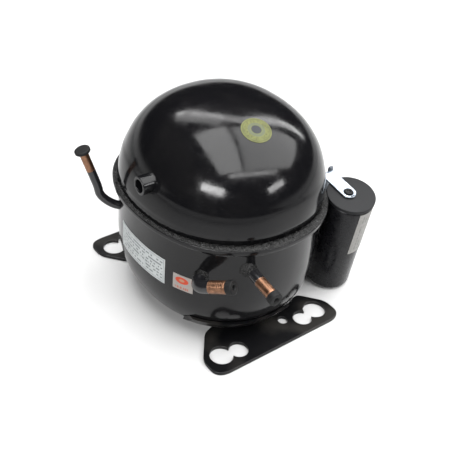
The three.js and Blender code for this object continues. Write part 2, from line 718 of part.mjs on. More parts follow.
// Main bearing, four-armed deck on the stator bolts, and the cylinder barrel with its flange.
function crankcase() {
  const { z, bore, outer, y0, y1, flangeHalf } = cylinder;
  const { deckZ, hub, armReach, armHalf, leg, deckHalf, webHalf } = casting;
  const deckTop = crank.webZ0 - 1.5;
  const bearing = cylinderZ(hub, motor.z1 + 10, crank.webZ0 - gap, 20);
  const arms = [45, 135].map((angle) => (
    block(-armReach, armReach, -armHalf, armHalf, deckZ, deckTop).rotateZ(THREE.MathUtils.degToRad(angle))
  ));
  const legs = corners(motor.boltAt).map(([x, y]) => (
    cylinderZ(leg, motor.z1 + gap, deckTop, 16).translate(x, y, 0)
  ));
  const barrel = cylinderY(outer, y0, y1, 24).translate(0, 0, z);
  const flangeBlock = block(-flangeHalf, flangeHalf, y1 - 9, y1, z - flangeHalf, z + flangeHalf);
  const web = block(-webHalf, webHalf, y0, y1 - 2, deckZ, z - 10);
  const deck = block(-deckHalf, deckHalf, 0, y1 - 4, deckZ, deckTop);
  const legHoles = corners(motor.boltAt).map(([x, y]) => (
    cylinderZ(motor.boltRadius + gap, motor.z1, motor.boltTop + 0.5, 12).translate(x, y, 0)
  ));
  return cut(
    join(bearing, ...arms, ...legs, deck, web, barrel, flangeBlock),
    cylinderZ(crank.bore, motor.z1, crank.webZ0 + 2, 24),
    cylinderY(bore, y0 - 4, y1 + 2, 32).translate(0, 0, z),
    ...headBoltHoles(y1 - 7, y1 + 1),
    ...legHoles,
  );
}

function valvePlate() {
  const { flangeHalf, z } = cylinder;
  const body = block(-flangeHalf, flangeHalf, plate.y0, plate.y1, z - flangeHalf, z + flangeHalf);
  const port = (radius, up) => cylinderY(radius, plate.y0 - 1, plate.y1 + 1, 12).translate(0, 0, z + up);
  return cut(body, port(2.8, 5), port(2.2, -2), ...headBoltHoles(plate.y0 - 1, plate.y1 + 1));
}

function cylinderHead() {
  const { flangeHalf, z } = cylinder;
  const { y1, pocket, floor, outletX, outletY } = head;
  const body = block(-flangeHalf, flangeHalf, plate.y1 + gap, y1, z - flangeHalf, z + flangeHalf);
  const hollow = block(-pocket, pocket, plate.y1 - 1, floor, z - pocket, z + pocket);
  const outlet = cylinderZ(2.6, z - flangeHalf - 1, z - pocket + 1, 10).translate(outletX, outletY, 0);
  return cut(body, hollow, outlet, ...headBoltHoles(plate.y1 - 1, y1 + 1));
}

function headBolt() {
  return join(cylinderY(2, cylinder.y1 - 6, head.y1 + 1, 8), cylinderY(3.5, head.y1 + gap, head.y1 + 3, 6));
}

function reed(half, y, z0, z1) {
  const blade = new THREE.Shape();
  blade.moveTo(-half, 0);
  blade.lineTo(half, 0);
  blade.lineTo(half, z1 - z0 - half);
  blade.absarc(0, z1 - z0 - half, half, 0, Math.PI);
  blade.closePath();
  return prism(blade, 0, 0.3, 6).rotateX(Math.PI / 2).translate(0, y + 0.3, z0);
}

function pistonBody() {
  const { radius, crownY, length, pinY, pinRadius } = piston;
  const pocketHalf = rod.height / 2 + 0.5;
  return cut(
    cylinderY(radius, crownY - length, crownY, 32).translate(0, 0, cylinder.z),
    block(-8.2, 8.2, crownY - length - 1, pinY + 8, cylinder.z - pocketHalf, cylinder.z + pocketHalf),
    cylinderZ(pinRadius + gap, 100, 160, 16).translate(0, pinY, 0),
  );
}

function wristPin() {
  return cylinderZ(piston.pinRadius, cylinder.z - 11, cylinder.z + 11, 16).translate(0, piston.pinY, 0);
}

function connectingRod() {
  const { height, bigOuter, bigHole, smallOuter, shank } = rod;
  const z0 = cylinder.z - height / 2;
  const z1 = cylinder.z + height / 2;
  const eye = (radius, y) => cylinderZ(radius, z0, z1, 24).translate(0, y, 0);
  const drill = (radius, y) => cylinderZ(radius, z0 - 1, z1 + 1, 20).translate(0, y, 0);
  return cut(
    join(
      eye(bigOuter, crank.eccentric),
      eye(smallOuter, piston.pinY),
      block(-shank, shank, 14, 40, z0 + 2, z1 - 2),
    ),
    drill(bigHole, crank.eccentric),
    drill(piston.pinRadius + gap, piston.pinY),
  );
}

// Shaft, web with counterweight, crankpin and the oil pickup at the lower end.
function crankshaft() {
  const { shaft, eccentric, pin, weight, webZ0, webZ1, pinTop, pickupZ } = crank;
  const journal = turned([
    [0, pickupZ], [3.5, pickupZ], [5, pickupZ + 2], [5, 20], [shaft, 22], [shaft, webZ0 + 1], [0, webZ0 + 1],
  ], 24);
  const web = new THREE.Shape();
  web.absarc(0, 0, weight, 1.2 * Math.PI, 1.8 * Math.PI);
  web.absarc(0, eccentric, 9, 0, Math.PI);
  web.closePath();
  return join(
    journal,
    prism(web, webZ0, webZ1, 12),
    cylinderZ(pin, webZ1 - 1, pinTop, 20).translate(0, eccentric, 0),
  );
}

function suctionMuffler() {
  const { x0, x1, y0, y1, z0, z1, neckX, neckY, neckZ } = muffler;
  const body = prism(roundedRect(x0, x1, y0, y1, 6), z0, z1, 4);
  const neck = cylinderY(4, y1 - 4, neckY, 12).translate(neckX, 0, neckZ);
  return join(body, neck);
}

function shockLoop() {
  const { outletX, outletY } = head;
  const free = toVectors([
    [outletX, outletY, cylinder.z - cylinder.flangeHalf - 0.4],
    [outletX, outletY + 1, 97],
    [-24, 66, 91],
    [-44, 57, 84],
  ]);
  const route = [...free, alongEntry(discharge, -14), alongEntry(discharge, -6.4)];
  return sweep(new THREE.CatmullRomCurve3(route), 2.2, 1.3, 12, 6);
}

function clusterPlug() {
  const body = standAlongX(prism(roundedRect(8, 28, 45, 66, 3), 57, 67.5, 2));
  return cut(body, ...pinHoles(59, 70));
}

function motorLeads() {
  const route = toVectors([[62, 18, 66.4], [61, 18, 80], [54, 17, 92], [43, 15, 93], [38, 13, 87]]);
  return sweep(new THREE.CatmullRomCurve3(route), 2.6, 0, 14, 8);
}

// ---- assembly -----------------------------------------------------------------------------

add('lower_shell', 'shell_paint', lowerShell());
add('upper_shell', 'shell_paint', upperShell());
add('shell_weld_bead', 'weld', weldBead());
add('front_foot', 'shell_paint', footPressing());
add('rear_foot', 'shell_paint', footPressing().rotateZ(Math.PI));

add('suction_tube', 'copper', suctionTube());
add('process_tube', 'copper', chargeTube());
add('discharge_tube', 'copper', dischargeTube());
add('suction_braze', 'weld', brazeFillet(suction, 4, 2.5));
add('process_braze', 'weld', brazeFillet(charge, 5, 3.5));
add('side_stub', 'shell_paint', sideStub());
add('suction_plug', 'rubber', aim(stopper(suction.inner), suctionEnd, suctionAim));
add('process_plug', 'rubber', aim(stopper(charge.inner), chargeEnd, charge.leave));
add('discharge_cap', 'rubber', aim(mushroomCap(), dischargeEnd, dischargeAim));

add('hermetic_terminal', 'steel', terminalCup());
pinPlaces.forEach(([y, z], i) => {
  const names = ['terminal_pin_start', 'terminal_pin_common', 'terminal_pin_run'];
  add(names[i], 'steel', cylinderX(terminal.pinRadius, 61, 90, 12), [0, y, z]);
});
add('terminal_fence', 'zinc', terminalFence());
add('start_relay', 'cover_plastic', startRelay());
add('overload_protector', 'can_plastic', overloadProtector());
add('terminal_cover', 'cover_plastic', terminalCover());
add('capacitor_can', 'can_plastic', capacitorCan());
add('capacitor_cap', 'cap_plastic', capacitorCap());
add('capacitor_bracket', 'zinc', capacitorBracket());
add('bracket_screw', 'steel', bracketScrew());

add('nameplate_label', 'pale_label', sideLabel(nameplate));
add('square_label', 'white_label', sideLabel(squareLabel));
add('ring_label', 'yellow_label', domeLabel(ringLabel));
add('capacitor_label', 'pale_label', canLabel());

add('crankcase', 'cast_iron', crankcase());
add('stator_core', 'lamination', statorCore());
add('stator_windings', 'enamel', statorWindings());
corners(motor.boltAt).forEach(([x, y], i) => {
  add(`stator_bolt_${i + 1}`, 'steel', statorBolt(), [x, y, 0]);
  add(`suspension_spring_${i + 1}`, 'steel', suspensionSpring(), [x, y, 0]);
});
add('valve_plate', 'steel', valvePlate());
add('cylinder_head', 'aluminium', cylinderHead());
headBoltPlaces.forEach(([x, z], i) => add(`head_bolt_${i + 1}`, 'steel', headBolt(), [x, 0, z]));
add('suction_muffler', 'nylon', suctionMuffler());
add('suction_reed', 'steel', reed(3.6, plate.y0 - 0.7, cylinder.z - 10, cylinder.z + 10));
add('discharge_reed', 'steel', reed(3.4, plate.y1 + 0.3, cylinder.z - 10, cylinder.z + 2));

add('crankshaft', 'cast_iron', crankshaft());
add('rotor_core', 'lamination', rotorCore());
add('rotor_cage', 'aluminium', rotorCage());
add('piston', 'cast_iron', pistonBody());
add('wrist_pin', 'steel', wristPin());
add('connecting_rod', 'aluminium', connectingRod());

add('discharge_shock_loop', 'copper', shockLoop());
add('cluster_plug', 'nylon', clusterPlug());
add('motor_leads', 'lead', motorLeads());

export default product;
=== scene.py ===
"""Looks of the hermetic reciprocating compressor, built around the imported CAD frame.

Sizes are in millimetres and turn into metres where a mesh is made. Lights and floor are placed in metres.
"""
import json
import math

import bpy
from mathutils import Matrix, Vector, noise


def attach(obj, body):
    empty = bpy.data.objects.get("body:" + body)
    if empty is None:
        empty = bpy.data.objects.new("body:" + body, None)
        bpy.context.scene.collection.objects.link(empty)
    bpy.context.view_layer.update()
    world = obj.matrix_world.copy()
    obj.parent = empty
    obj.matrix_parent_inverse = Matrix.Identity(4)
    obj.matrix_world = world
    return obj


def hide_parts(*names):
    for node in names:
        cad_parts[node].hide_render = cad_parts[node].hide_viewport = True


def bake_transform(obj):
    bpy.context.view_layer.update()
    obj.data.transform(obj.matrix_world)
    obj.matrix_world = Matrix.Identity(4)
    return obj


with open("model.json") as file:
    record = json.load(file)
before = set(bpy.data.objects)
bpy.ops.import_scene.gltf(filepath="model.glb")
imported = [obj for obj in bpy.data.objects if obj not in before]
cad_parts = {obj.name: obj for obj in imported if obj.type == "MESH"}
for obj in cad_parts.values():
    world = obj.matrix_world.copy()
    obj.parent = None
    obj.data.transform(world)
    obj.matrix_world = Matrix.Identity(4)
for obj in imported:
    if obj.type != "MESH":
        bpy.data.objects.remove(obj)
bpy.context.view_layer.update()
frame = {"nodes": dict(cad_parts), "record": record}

MM = 0.001
TINY = 0.01

# ---- sizes, most of them shared with the CAD model ----

OVAL_POWER = 2.17
WALL = 3.0
UPPER = dict(a=79.2, b=86.0, rim=102.5, skirt=109.5, crown_a=79.0, crown_b=87.3, dome=112.0, top=182.6,
             side_reach=0.46, top_reach=0.77, lean_x=7.6, lean_y=2.4)
LOWER = dict(a=77.6, b=89.2, bowl=77.0, power=3.46, flat=0.45)
LOWER["depth"] = LOWER["bowl"] / (1 - LOWER["flat"] ** LOWER["power"]) ** (1 / LOWER["power"])
FLANGE = dict(a=82.9, b=93.3, lip=2.6, top=106.0, corner=102.5, flare=98.0, inner_rise=0.6, neck=4)
KNUCKLE = dict(z=133.0, step=0.35, sharpness=1.6)
# The weld bead; ripple, lump and grain each give a rate along the seam and a height.
BEAD = dict(steps=1400, across=9, root=104.0, seat=106.5, tilt=1.1, inner_gap=0.15, outer_gap=0.5,
            height=1.1, fullness=0.85, roundness=0.7, ripple=(34, 0.4), lump=(48, 1.3), grain=(120, 0.9))

FOOT_EDGE = 100.3
FOOT_SIDE = 66.9
FOOT_EAR = 79.5
FOOT_THICK = 3.0
# Holes of a foot: x, y and radius; the wide and the narrow one appear on both sides.
HOLE_WIDE = (50.8, 82.55, 9.75)
HOLE_NARROW = (35.0, 85.0, 8.2)
HOLE_EARTH = (18.6, 78.0, 4.25)
SADDLE = dict(left=-60.0, right=18.0, inner=40.0, bottom=0.6, top=24.5, lifts=(3.2, 0.35))

SUCTION = dict(outer=5.2, inner=4.1, entry=(-60.4, -59.9, 74.5), out=13.0, bend=8.0, run=28.0,
               azimuth=-64, elevation=23.5, root=-7, bare=15.0)
CHARGE = dict(outer=4.7, inner=3.6, entry=(-31.7, -83.0, 84.7), run=30.0, azimuth=-95, elevation=-4,
              root=-7, bare=16.0)
DISCHARGE = dict(outer=3.7, inner=2.7, entry=(-68.4, 46.1, 80.0), azimuth=155, root=-6, straight=1,
                 bare=17.5)
# The discharge tube's way up: how far out from its entry, and how far above it.
RISE = ((9.0, 4.5), (15.5, 12.0), (18.5, 23.0), (28.7, 53.0))
TUBE_SIDES = 40
TUBE_END_ROUND = (0.1, 0.35)
PATH_SPACING = 0.8
BRAZE = dict(start=-3, clearance=0.15, segments=56, steps=12, taper=1.6, lumps=1.7, lump_share=0.35, bore=0.5)
PLUG = dict(radius=5.8, length=6.0, stem=7.0, dimple=2.2, depth=3.0)
PLUG_GAP = 0.3
MUSHROOM = dict(radius=6.5, rim=3.1, top=3.2, stem=6.0)
STUB = dict(at=(-73.6, -4.7, 133.5), azimuth=178, outer=7.6, inner=5.2, length=9.0, root=-4.0)

CAN = dict(radius=20.3, length=97.5, cap=20.9, thick=3.2, top=(86.4, -68.0, 101.0),
           axis=(-0.07, -0.16, 0.98))
CAN_SEGMENTS = 96
SMALL_SEGMENTS = 40
CAN_LABEL = dict(start=-107, end=-12, low=-50.0, high=-2.0)
RING_LABEL = dict(x=-1.3, y=-38.3, radius=12.0, bands=14, segments=72)
FILM_LIFTS = (0.12, 0.3)
BRACKET = dict(width=13.0, thick=1.5, hook=(-1.9, 2.0), hole=4.2, stud=3.5, reach=30.2, leg=-38.5, shelf=66.0,
               tab=-12.9, tab_z=50.0, middle=84.6, screw=58.0, gap=0.3, tongue_z=110.5)
COVER = dict(y0=-11.0, y1=47.0, z0=24.5, z1=85.5, outer=112.0, sheet=2.0, corner=7.0, root=70.0,
             middle=29.0, follows_shell_to=100, gap=0.4, squeeze=0.9)
SCREW = dict(shank=1.6, length=8.0, head=4.0, rim=1.7, crown=2.6)
SPRING = dict(mean=6.4, wire=1.1, low=15.6, high=32.4, turns=4, at=36.0)
LINK_SIDES = 12
SHOCK_LOOP = ((-8.0, 62.0, 107.6), (-8.0, 63.0, 97.0), (-24.0, 66.0, 91.0), (-44.0, 57.0, 84.0))
SHOCK_LOOP_ENDS = (-14, -6.4)
SHOCK_LOOP_RADIUS = 2.2
LEADS = ((62.0, 18.0, 66.4), (61.0, 18.0, 80.0), (54.0, 17.0, 92.0), (43.0, 15.0, 93.0),
         (38.0, 13.0, 87.0))
LEADS_RADIUS = 2.6
LINE_SPACING = 1.2


# ---- camera, floor and light ----

CAMERA = dict(azimuth=-40.89, elevation=36.75, roll=5.77, distance=712.07, sideways=5.67, upward=-22.69,
              target_z=90.0, lens=68.0, sensor=36.0)
CEILING = 1.25
LAMP_TARGET = (0, 0, 0.12)
WORLD_RAMP = {"From Min": 0.02, "From Max": 0.09, "To Min": 1.0, "To Max": 0.01}
FLOOR_HALF = 1.6
FLOOR_COLOR = (0.48, 0.48, 0.48)


def add_object(name, data):
    item = bpy.data.objects.new(name, data)
    bpy.context.collection.objects.link(item)
    return item


def place_camera():
    azimuth, elevation, roll = (math.radians(CAMERA[key]) for key in ("azimuth", "elevation", "roll"))
    back = Vector((math.sin(azimuth) * math.cos(elevation), -math.cos(azimuth) * math.cos(elevation),
                   math.sin(elevation)))
    right = Vector((math.cos(azimuth), math.sin(azimuth), 0))
    up = back.cross(right)
    x_axis = right * math.cos(roll) + up * math.sin(roll)
    y_axis = up * math.cos(roll) - right * math.sin(roll)
    centre = (x_axis * CAMERA["sideways"] + y_axis * CAMERA["upward"] + back * CAMERA["distance"]
              + Vector((0, 0, CAMERA["target_z"])))
    data = bpy.data.cameras.new("camera")
    data.lens = CAMERA["lens"]
    data.sensor_width = CAMERA["sensor"]
    camera = add_object("camera", data)
    turn = Matrix((x_axis, y_axis, back)).transposed().to_4x4()
    camera.matrix_world = Matrix.Translation(centre * MM) @ turn
    bpy.context.scene.camera = camera


def panel_light(name, place, turn, size, radiance):
    """A rectangular panel whose front glows evenly; its power follows from its area."""
    data = bpy.data.lights.new(name, "AREA")
    data.shape = "RECTANGLE"
    data.size, data.size_y = size
    data.energy = radiance * math.pi * size[0] * size[1]
    light = add_object(name, data)
    light.location = place
    light.rotation_mode = "QUATERNION"
    light.rotation_quaternion = turn


def ceiling_panel(name, start, end, width, radiance):
    """A panel that faces straight down and runs from one plan point to another."""
    (x0, y0), (x1, y1) = start, end
    place = ((x0 + x1) / 2, (y0 + y1) / 2, CEILING)
    turn = Matrix.Rotation(math.atan2(y1 - y0, x1 - x0), 3, "Z").to_quaternion()
    panel_light(name, place, turn, (math.dist(start, end), width), radiance)


def side_panel(name, place, size, radiance):
    """A panel that is aimed at the compressor."""
    turn = (Vector(LAMP_TARGET) - Vector(place)).to_track_quat("-Z", "Y")
    panel_light(name, place, turn, size, radiance)


def light_scene():
    ceiling_panel("main_box_left", (-0.55, 0.09), (0.01, -0.13), 1.2, 8.6)
    ceiling_panel("main_box_right", (0.07, -0.153), (1.6, -0.75), 1.15, 6.2)
    ceiling_panel("back_left_strip", (-0.06, 1.45), (0.4, 0.66), 0.16, 11.5)
    ceiling_panel("back_left_glow", (-0.2, 1.34), (0.26, 0.55), 0.2, 5)
    ceiling_panel("back_corner", (0.32, 0.72), (0.62, 0.44), 0.2, 8)
    ceiling_panel("back_right_strip", (0.6, 0.44), (3.6, 0.2), 0.26, 11)
    ceiling_panel("front_strip", (-0.6, -0.66), (0.8, -1.205), 0.15, 12)
    side_panel("left_lamp", (-1.03, -0.55, 0.84), (0.62, 0.22), 34)
    side_panel("right_lamp", (0.47, -1.15, 0.70), (0.44, 0.17), 19)


def light_world():
    """White light near and below the horizon that fades to almost nothing just above it."""
    world = bpy.data.worlds.new("studio")
    world.use_nodes = True
    tree = world.node_tree
    background = tree.nodes["Background"]
    background.inputs["Color"].default_value = (1, 1, 1, 1)
    place = tree.nodes.new("ShaderNodeTexCoord")
    split = tree.nodes.new("ShaderNodeSeparateXYZ")
    ramp = tree.nodes.new("ShaderNodeMapRange")
    for socket, value in WORLD_RAMP.items():
        ramp.inputs[socket].default_value = value
    tree.links.new(place.outputs["Generated"], split.inputs[0])
    tree.links.new(split.outputs["Z"], ramp.inputs["Value"])
    tree.links.new(ramp.outputs[0], background.inputs["Strength"])
    bpy.context.scene.world = world
    bpy.context.scene.view_settings.view_transform = "Standard"


def lay_floor():
    corners = [(x * FLOOR_HALF, y * FLOOR_HALF, 0) for x, y in ((-1, -1), (1, -1), (1, 1), (-1, 1))]
    mesh = bpy.data.meshes.new("floor")
    mesh.from_pydata(corners, [], [(0, 1, 2, 3)])
    floor = add_object("floor", mesh)
    look = Look("floor_paper", FLOOR_COLOR, 0.7)
    look.vary(look.noise(1.5, detail=3), 0.3, 0.7, 0.5, 0.65)
    mesh.materials.append(look.material)


# ---- material kit ----

class Look:
    """A node material around one Principled shader, with its textures placed in real millimetres."""

    def __init__(self, name, color, roughness, metallic=0.0, specular=0.5):
        self.material = bpy.data.materials.new(name)
        self.material.use_nodes = True
        self.tree = self.material.node_tree
        self.shader = self.tree.nodes["Principled BSDF"]
        self.set("Base Color", color)
        self.set("Roughness", roughness)
        self.set("Metallic", metallic)
        self.set("Specular IOR Level", specular)
        self.place = self.tree.nodes.new("ShaderNodeTexCoord").outputs["Object"]

    def node(self, kind, **values):
        made = self.tree.nodes.new(kind)
        for name, value in values.items():
            setattr(made, name, value)
        return made

    def feed(self, socket, value):
        if isinstance(value, bpy.types.NodeSocket):
            self.tree.links.new(value, socket)
        elif isinstance(value, tuple) and len(value) == 3 and socket.type == "RGBA":
            socket.default_value = (*value, 1)
        else:
            socket.default_value = value

    def set(self, socket, value):
        self.feed(self.shader.inputs[socket], value)

    def stretched(self, x, y, z):
        mapping = self.node("ShaderNodeMapping")
        self.feed(mapping.inputs["Vector"], self.place)
        mapping.inputs["Scale"].default_value = (x, y, z)
        return mapping.outputs[0]

    def attribute(self, name):
        return self.node("ShaderNodeAttribute", attribute_name=name).outputs["Vector"]

    def noise(self, size, detail=2, roughness=0.5, place=None):
        made = self.node("ShaderNodeTexNoise")
        self.feed(made.inputs["Vector"], place or self.place)
        made.inputs["Scale"].default_value = 1 / (size * MM)
        made.inputs["Detail"].default_value = detail
        made.inputs["Roughness"].default_value = roughness
        return made.outputs[0]

    def spread(self, value, low, high, out_low=0.0, out_high=1.0):
        made = self.node("ShaderNodeMapRange")
        for socket, number in zip(made.inputs, (value, low, high, out_low, out_high)):
            self.feed(socket, number)
        return made.outputs[0]

    def math(self, operation, first, second=0.0):
        made = self.node("ShaderNodeMath", operation=operation)
        self.feed(made.inputs[0], first)
        self.feed(made.inputs[1], second)
        return made.outputs[0]

    def times(self, first, second):
        return self.math("MULTIPLY", first, second)

    def near(self, value, middle, half):
        """1 where the value is less than 'half' away from the middle."""
        return self.math("LESS_THAN", self.math("ABSOLUTE", self.math("SUBTRACT", value, middle)), half)

    def length(self, x, y):
        return self.math("SQRT", self.math("ADD", self.times(x, x), self.times(y, y)))

    def split(self, vector):
        made = self.node("ShaderNodeSeparateXYZ")
        self.feed(made.inputs[0], vector)
        return made.outputs

    def mix(self, share, first, second):
        made = self.node("ShaderNodeMix", data_type="RGBA")
        self.feed(made.inputs[0], share)
        self.feed(made.inputs[6], first)
        self.feed(made.inputs[7], second)
        return made.outputs[2]

    def mottle(self, texture, low, high, first, second):
        """Base colour that goes from first to second as the texture goes from low to high."""
        self.set("Base Color", self.mix(self.spread(texture, low, high), first, second))

    def vary(self, texture, low, high, smooth, rough):
        """Roughness that goes from smooth to rough as the texture goes from low to high."""
        self.set("Roughness", self.spread(texture, low, high, smooth, rough))

    def bump(self, height, depth, strength=1.0, below=None):
        made = self.node("ShaderNodeBump")
        made.inputs["Strength"].default_value = strength
        made.inputs["Distance"].default_value = depth * MM
        self.feed(made.inputs["Height"], height)
        if below is not None:
            self.feed(made.inputs["Normal"], below)
        self.set("Normal", made.outputs[0])
        return made.outputs[0]


# ---- materials ----

def black_enamel(name="black_enamel", roughness=0.12, dust=0.15):
    """Gloss black paint with orange peel, the faint waves of drawn sheet and a little settled dust."""
    look = Look(name, (0.006, 0.006, 0.007), roughness, specular=0.24)
    clouds = look.noise(38, detail=4)
    specks = look.noise(0.9, detail=2)
    dirt = look.times(look.spread(clouds, 0.45, 0.75), dust)
    look.set("Base Color", look.mix(dirt, (0.003, 0.003, 0.0035), (0.016, 0.015, 0.014)))
    smear = look.noise(9, detail=5, roughness=0.65)
    look.vary(smear, 0.35, 0.75, roughness - 0.03, roughness + 0.1)
    waves = look.bump(look.noise(30, detail=1), 0.35, 0.25)
    peel = look.bump(look.noise(2.2, detail=2), 0.04, 0.5, below=waves)
    look.bump(look.spread(specks, 0.68, 0.74), 0.03, 0.6, below=peel)
    return look.material


def painted_weld():
    """Rough weld metal under the shell's paint."""
    look = Look("painted_weld", (0.008, 0.008, 0.008), 0.3, specular=0.3)
    rough = look.noise(1.6, detail=4, roughness=0.7)
    look.mottle(rough, 0.6, 0.8, (0.005, 0.005, 0.005), (0.03, 0.028, 0.025))
    look.vary(rough, 0.3, 0.75, 0.12, 0.36)
    look.bump(look.noise(0.8, detail=3), 0.3, 1.0, below=look.bump(rough, 0.7, 1.0))
    return look.material


RIB_PITCH = 1.5
PAINTED_TUBE_ROUGHNESS = 0.18
SHEET_PITCH = 0.6
ROW_OFFSET = 7.31
WORD_THRESHOLD = 0.47


def bare_copper(masked=True, ribs=False):
    """Stained copper. Masked, it turns to black paint where the tube's 'along' attribute is low."""
    look = Look("tube_copper" if masked else "copper_line", (0.3, 0.17, 0.11), 0.3, 1.0)
    stain = look.noise(4.5, detail=5, roughness=0.65)
    fine = look.noise(0.8, detail=3)
    shine = look.mix(look.spread(stain, 0.35, 0.7), (0.27, 0.142, 0.085), (0.11, 0.058, 0.036))
    grain = look.spread(fine, 0.3, 0.7, 0.28, 0.5)
    if masked:
        along = look.split(look.attribute("along"))[0]
        edge = look.math("ADD", along, look.times(look.noise(1.6, detail=4), 1.1))
        bare = look.spread(edge, 0.35, 0.6)
        look.set("Base Color", look.mix(bare, (0.008, 0.008, 0.009), shine))
        look.set("Metallic", bare)
        look.set("Roughness", look.spread(bare, 0, 1, PAINTED_TUBE_ROUGHNESS, grain))
        finish = look.bump(bare, -0.12, 0.8, below=look.bump(fine, 0.03, 0.4))
        if ribs:
            wave = look.math("SINE", look.times(along, 2 * math.pi / RIB_PITCH))
            look.bump(look.times(wave, bare), 0.12, 0.7, below=finish)
    else:
        look.set("Base Color", shine)
        look.set("Roughness", grain)
        look.bump(fine, 0.03, 0.4)
    return look.material


def moulded_rubber():
    look = Look("moulded_rubber", (0.012, 0.012, 0.013), 0.6, specular=0.18)
    bloom = look.noise(3.5, detail=5, roughness=0.7)
    look.mottle(bloom, 0.4, 0.75, (0.004, 0.004, 0.0045), (0.011, 0.011, 0.0105))
    look.vary(bloom, 0.3, 0.7, 0.5, 0.75)
    look.bump(look.noise(0.35, detail=2), 0.03, 0.5)
    return look.material


def moulded_plastic(name, dark, light, roughness, grain):
    """Moulded thermoplastic with an eroded-mould texture and faint scuffs."""
    look = Look(name, dark, roughness, specular=0.2)
    scuff = look.noise(7, detail=6, roughness=0.7)
    look.mottle(scuff, 0.5, 0.8, dark, light)
    look.vary(scuff, 0.35, 0.75, roughness - 0.03, roughness + 0.08)
    look.bump(look.noise(grain, detail=2, roughness=0.6), 0.01, 0.15)
    return look.material


def zinc_plate():
    """Bright zinc: fine rolling lines, cloudy passivation and a few dull marks."""
    look = Look("zinc_plate", (0.72, 0.75, 0.79), 0.28, 1.0)
    cloud = look.noise(5, detail=4)
    lines = look.noise(0.5, detail=3, place=look.stretched(1, 0.06, 1))
    look.mottle(cloud, 0.35, 0.7, (0.27, 0.3, 0.335), (0.18, 0.2, 0.23))
    look.vary(lines, 0.3, 0.7, 0.2, 0.38)
    look.bump(lines, 0.02, 0.4)
    return look.material


def worked_metal(name, bright, dull, roughness, grain, depth, metallic=1.0):
    look = Look(name, bright, roughness, metallic)
    patches = look.noise(grain * 8, detail=4)
    look.mottle(patches, 0.35, 0.7, bright, dull)
    look.vary(patches, 0.3, 0.7, roughness - 0.05, roughness + 0.12)
    look.bump(look.noise(grain, detail=3), depth, 0.6)
    return look.material


def sheet_stack():
    """Edges of stacked electrical sheet."""
    look = Look("sheet_stack", (0.3, 0.32, 0.36), 0.42, 1.0)
    height = look.split(look.place)[2]
    sheets = look.math("SINE", look.times(height, 2 * math.pi / (SHEET_PITCH * MM)))
    look.set("Base Color", look.mix(look.noise(6, detail=4), (0.22, 0.24, 0.3), (0.42, 0.4, 0.4)))
    look.vary(sheets, -1, 1, 0.34, 0.55)
    look.bump(sheets, 0.05, 0.7)
    return look.material


def wound_wire():
    look = Look("wound_wire", (0.5, 0.2, 0.07), 0.32)
    strands = look.noise(0.9, detail=2, place=look.stretched(1, 1, 0.2))
    look.mottle(strands, 0.35, 0.65, (0.28, 0.09, 0.03), (0.68, 0.3, 0.11))
    look.vary(strands, 0.3, 0.7, 0.24, 0.45)
    look.bump(strands, 0.3, 0.8)
    return look.material


def printed_film(name, base, shade):
    """A satin label film with faint creases, and the colour of its plain part."""
    look = Look(name, base, 0.42, specular=0.2)
    crease = look.noise(6, detail=5, roughness=0.6)
    look.vary(crease, 0.3, 0.7, 0.34, 0.52)
    look.bump(crease, 0.05, 0.4)
    return look, look.mix(look.spread(crease, 0.45, 0.8), base, shade)


def print_bars(look, row_height, dash, fill, place):
    """A mask of short bars in rows, standing in for small print without any letters."""
    across, up, _ = look.split(place)
    height = look.math("DIVIDE", up, row_height)
    row = look.math("FLOOR", height)
    inside = look.math("FRACT", height)
    stroke = look.near(inside, 0.5, fill)
    seat = look.node("ShaderNodeCombineXYZ")
    look.feed(seat.inputs[0], look.math("DIVIDE", across, dash))
    look.feed(seat.inputs[1], look.times(row, ROW_OFFSET))
    words = look.node("ShaderNodeTexNoise")
    look.feed(words.inputs["Vector"], seat.outputs[0])
    words.inputs["Scale"].default_value = 1.0
    words.inputs["Detail"].default_value = 0.0
    return look.times(stroke, look.math("GREATER_THAN", words.outputs[0], WORD_THRESHOLD))


def inside_box(look, place, low_x, high_x, low_y, high_y):
    across, up, _ = look.split(place)
    wide = look.near(across, (low_x + high_x) / 2, (high_x - low_x) / 2)
    tall = look.near(up, (low_y + high_y) / 2, (high_y - low_y) / 2)
    return look.times(wide, tall)


def nameplate_print(width, height):
    """Grey plate with a thin frame and rows of dark bars."""
    look, film = printed_film("nameplate_print", (0.38, 0.4, 0.4), (0.3, 0.32, 0.32))
    place = look.attribute("print")
    bars = print_bars(look, 3.1, 2.2, 0.24, place)
    area = inside_box(look, place, 2.5, width - 2.5, 2.0, height - 2.5)
    outside, inside = (
        inside_box(look, place, inset, width - inset, inset, height - inset) for inset in (1.2, 1.6)
    )
    ink = look.math("MAXIMUM", look.times(bars, area), look.math("SUBTRACT", outside, inside))
    look.set("Base Color", look.mix(look.times(ink, 0.85), film, (0.1, 0.11, 0.115)))
    return look.material


def square_print(width, height):
    """Pale sticker with a plain red roundel and rows of red dashes under it."""
    look, film = printed_film("square_print", (0.24, 0.22, 0.205), (0.19, 0.175, 0.16))
    place = look.attribute("print")
    across, up, _ = look.split(place)
    dx = look.math("DIVIDE", look.math("SUBTRACT", across, width * 0.47), width * 0.33)
    dy = look.math("DIVIDE", look.math("SUBTRACT", up, height * 0.66), height * 0.22)
    reach = look.length(dx, dy)
    disc = look.math("LESS_THAN", reach, 1.0)
    hollow = look.math("LESS_THAN", reach, 0.42)
    dashes = look.times(
        print_bars(look, height * 0.3, 1.3, 0.3, place),
        inside_box(look, place, 2.0, width - 2.0, 1.2, height * 0.32),
    )
    red = look.mix(disc, film, (0.36, 0.04, 0.015))
    ringed = look.mix(hollow, red, (0.3, 0.16, 0.1))
    look.set("Base Color", look.mix(look.times(dashes, 0.8), ringed, (0.3, 0.06, 0.03)))
    return look.material


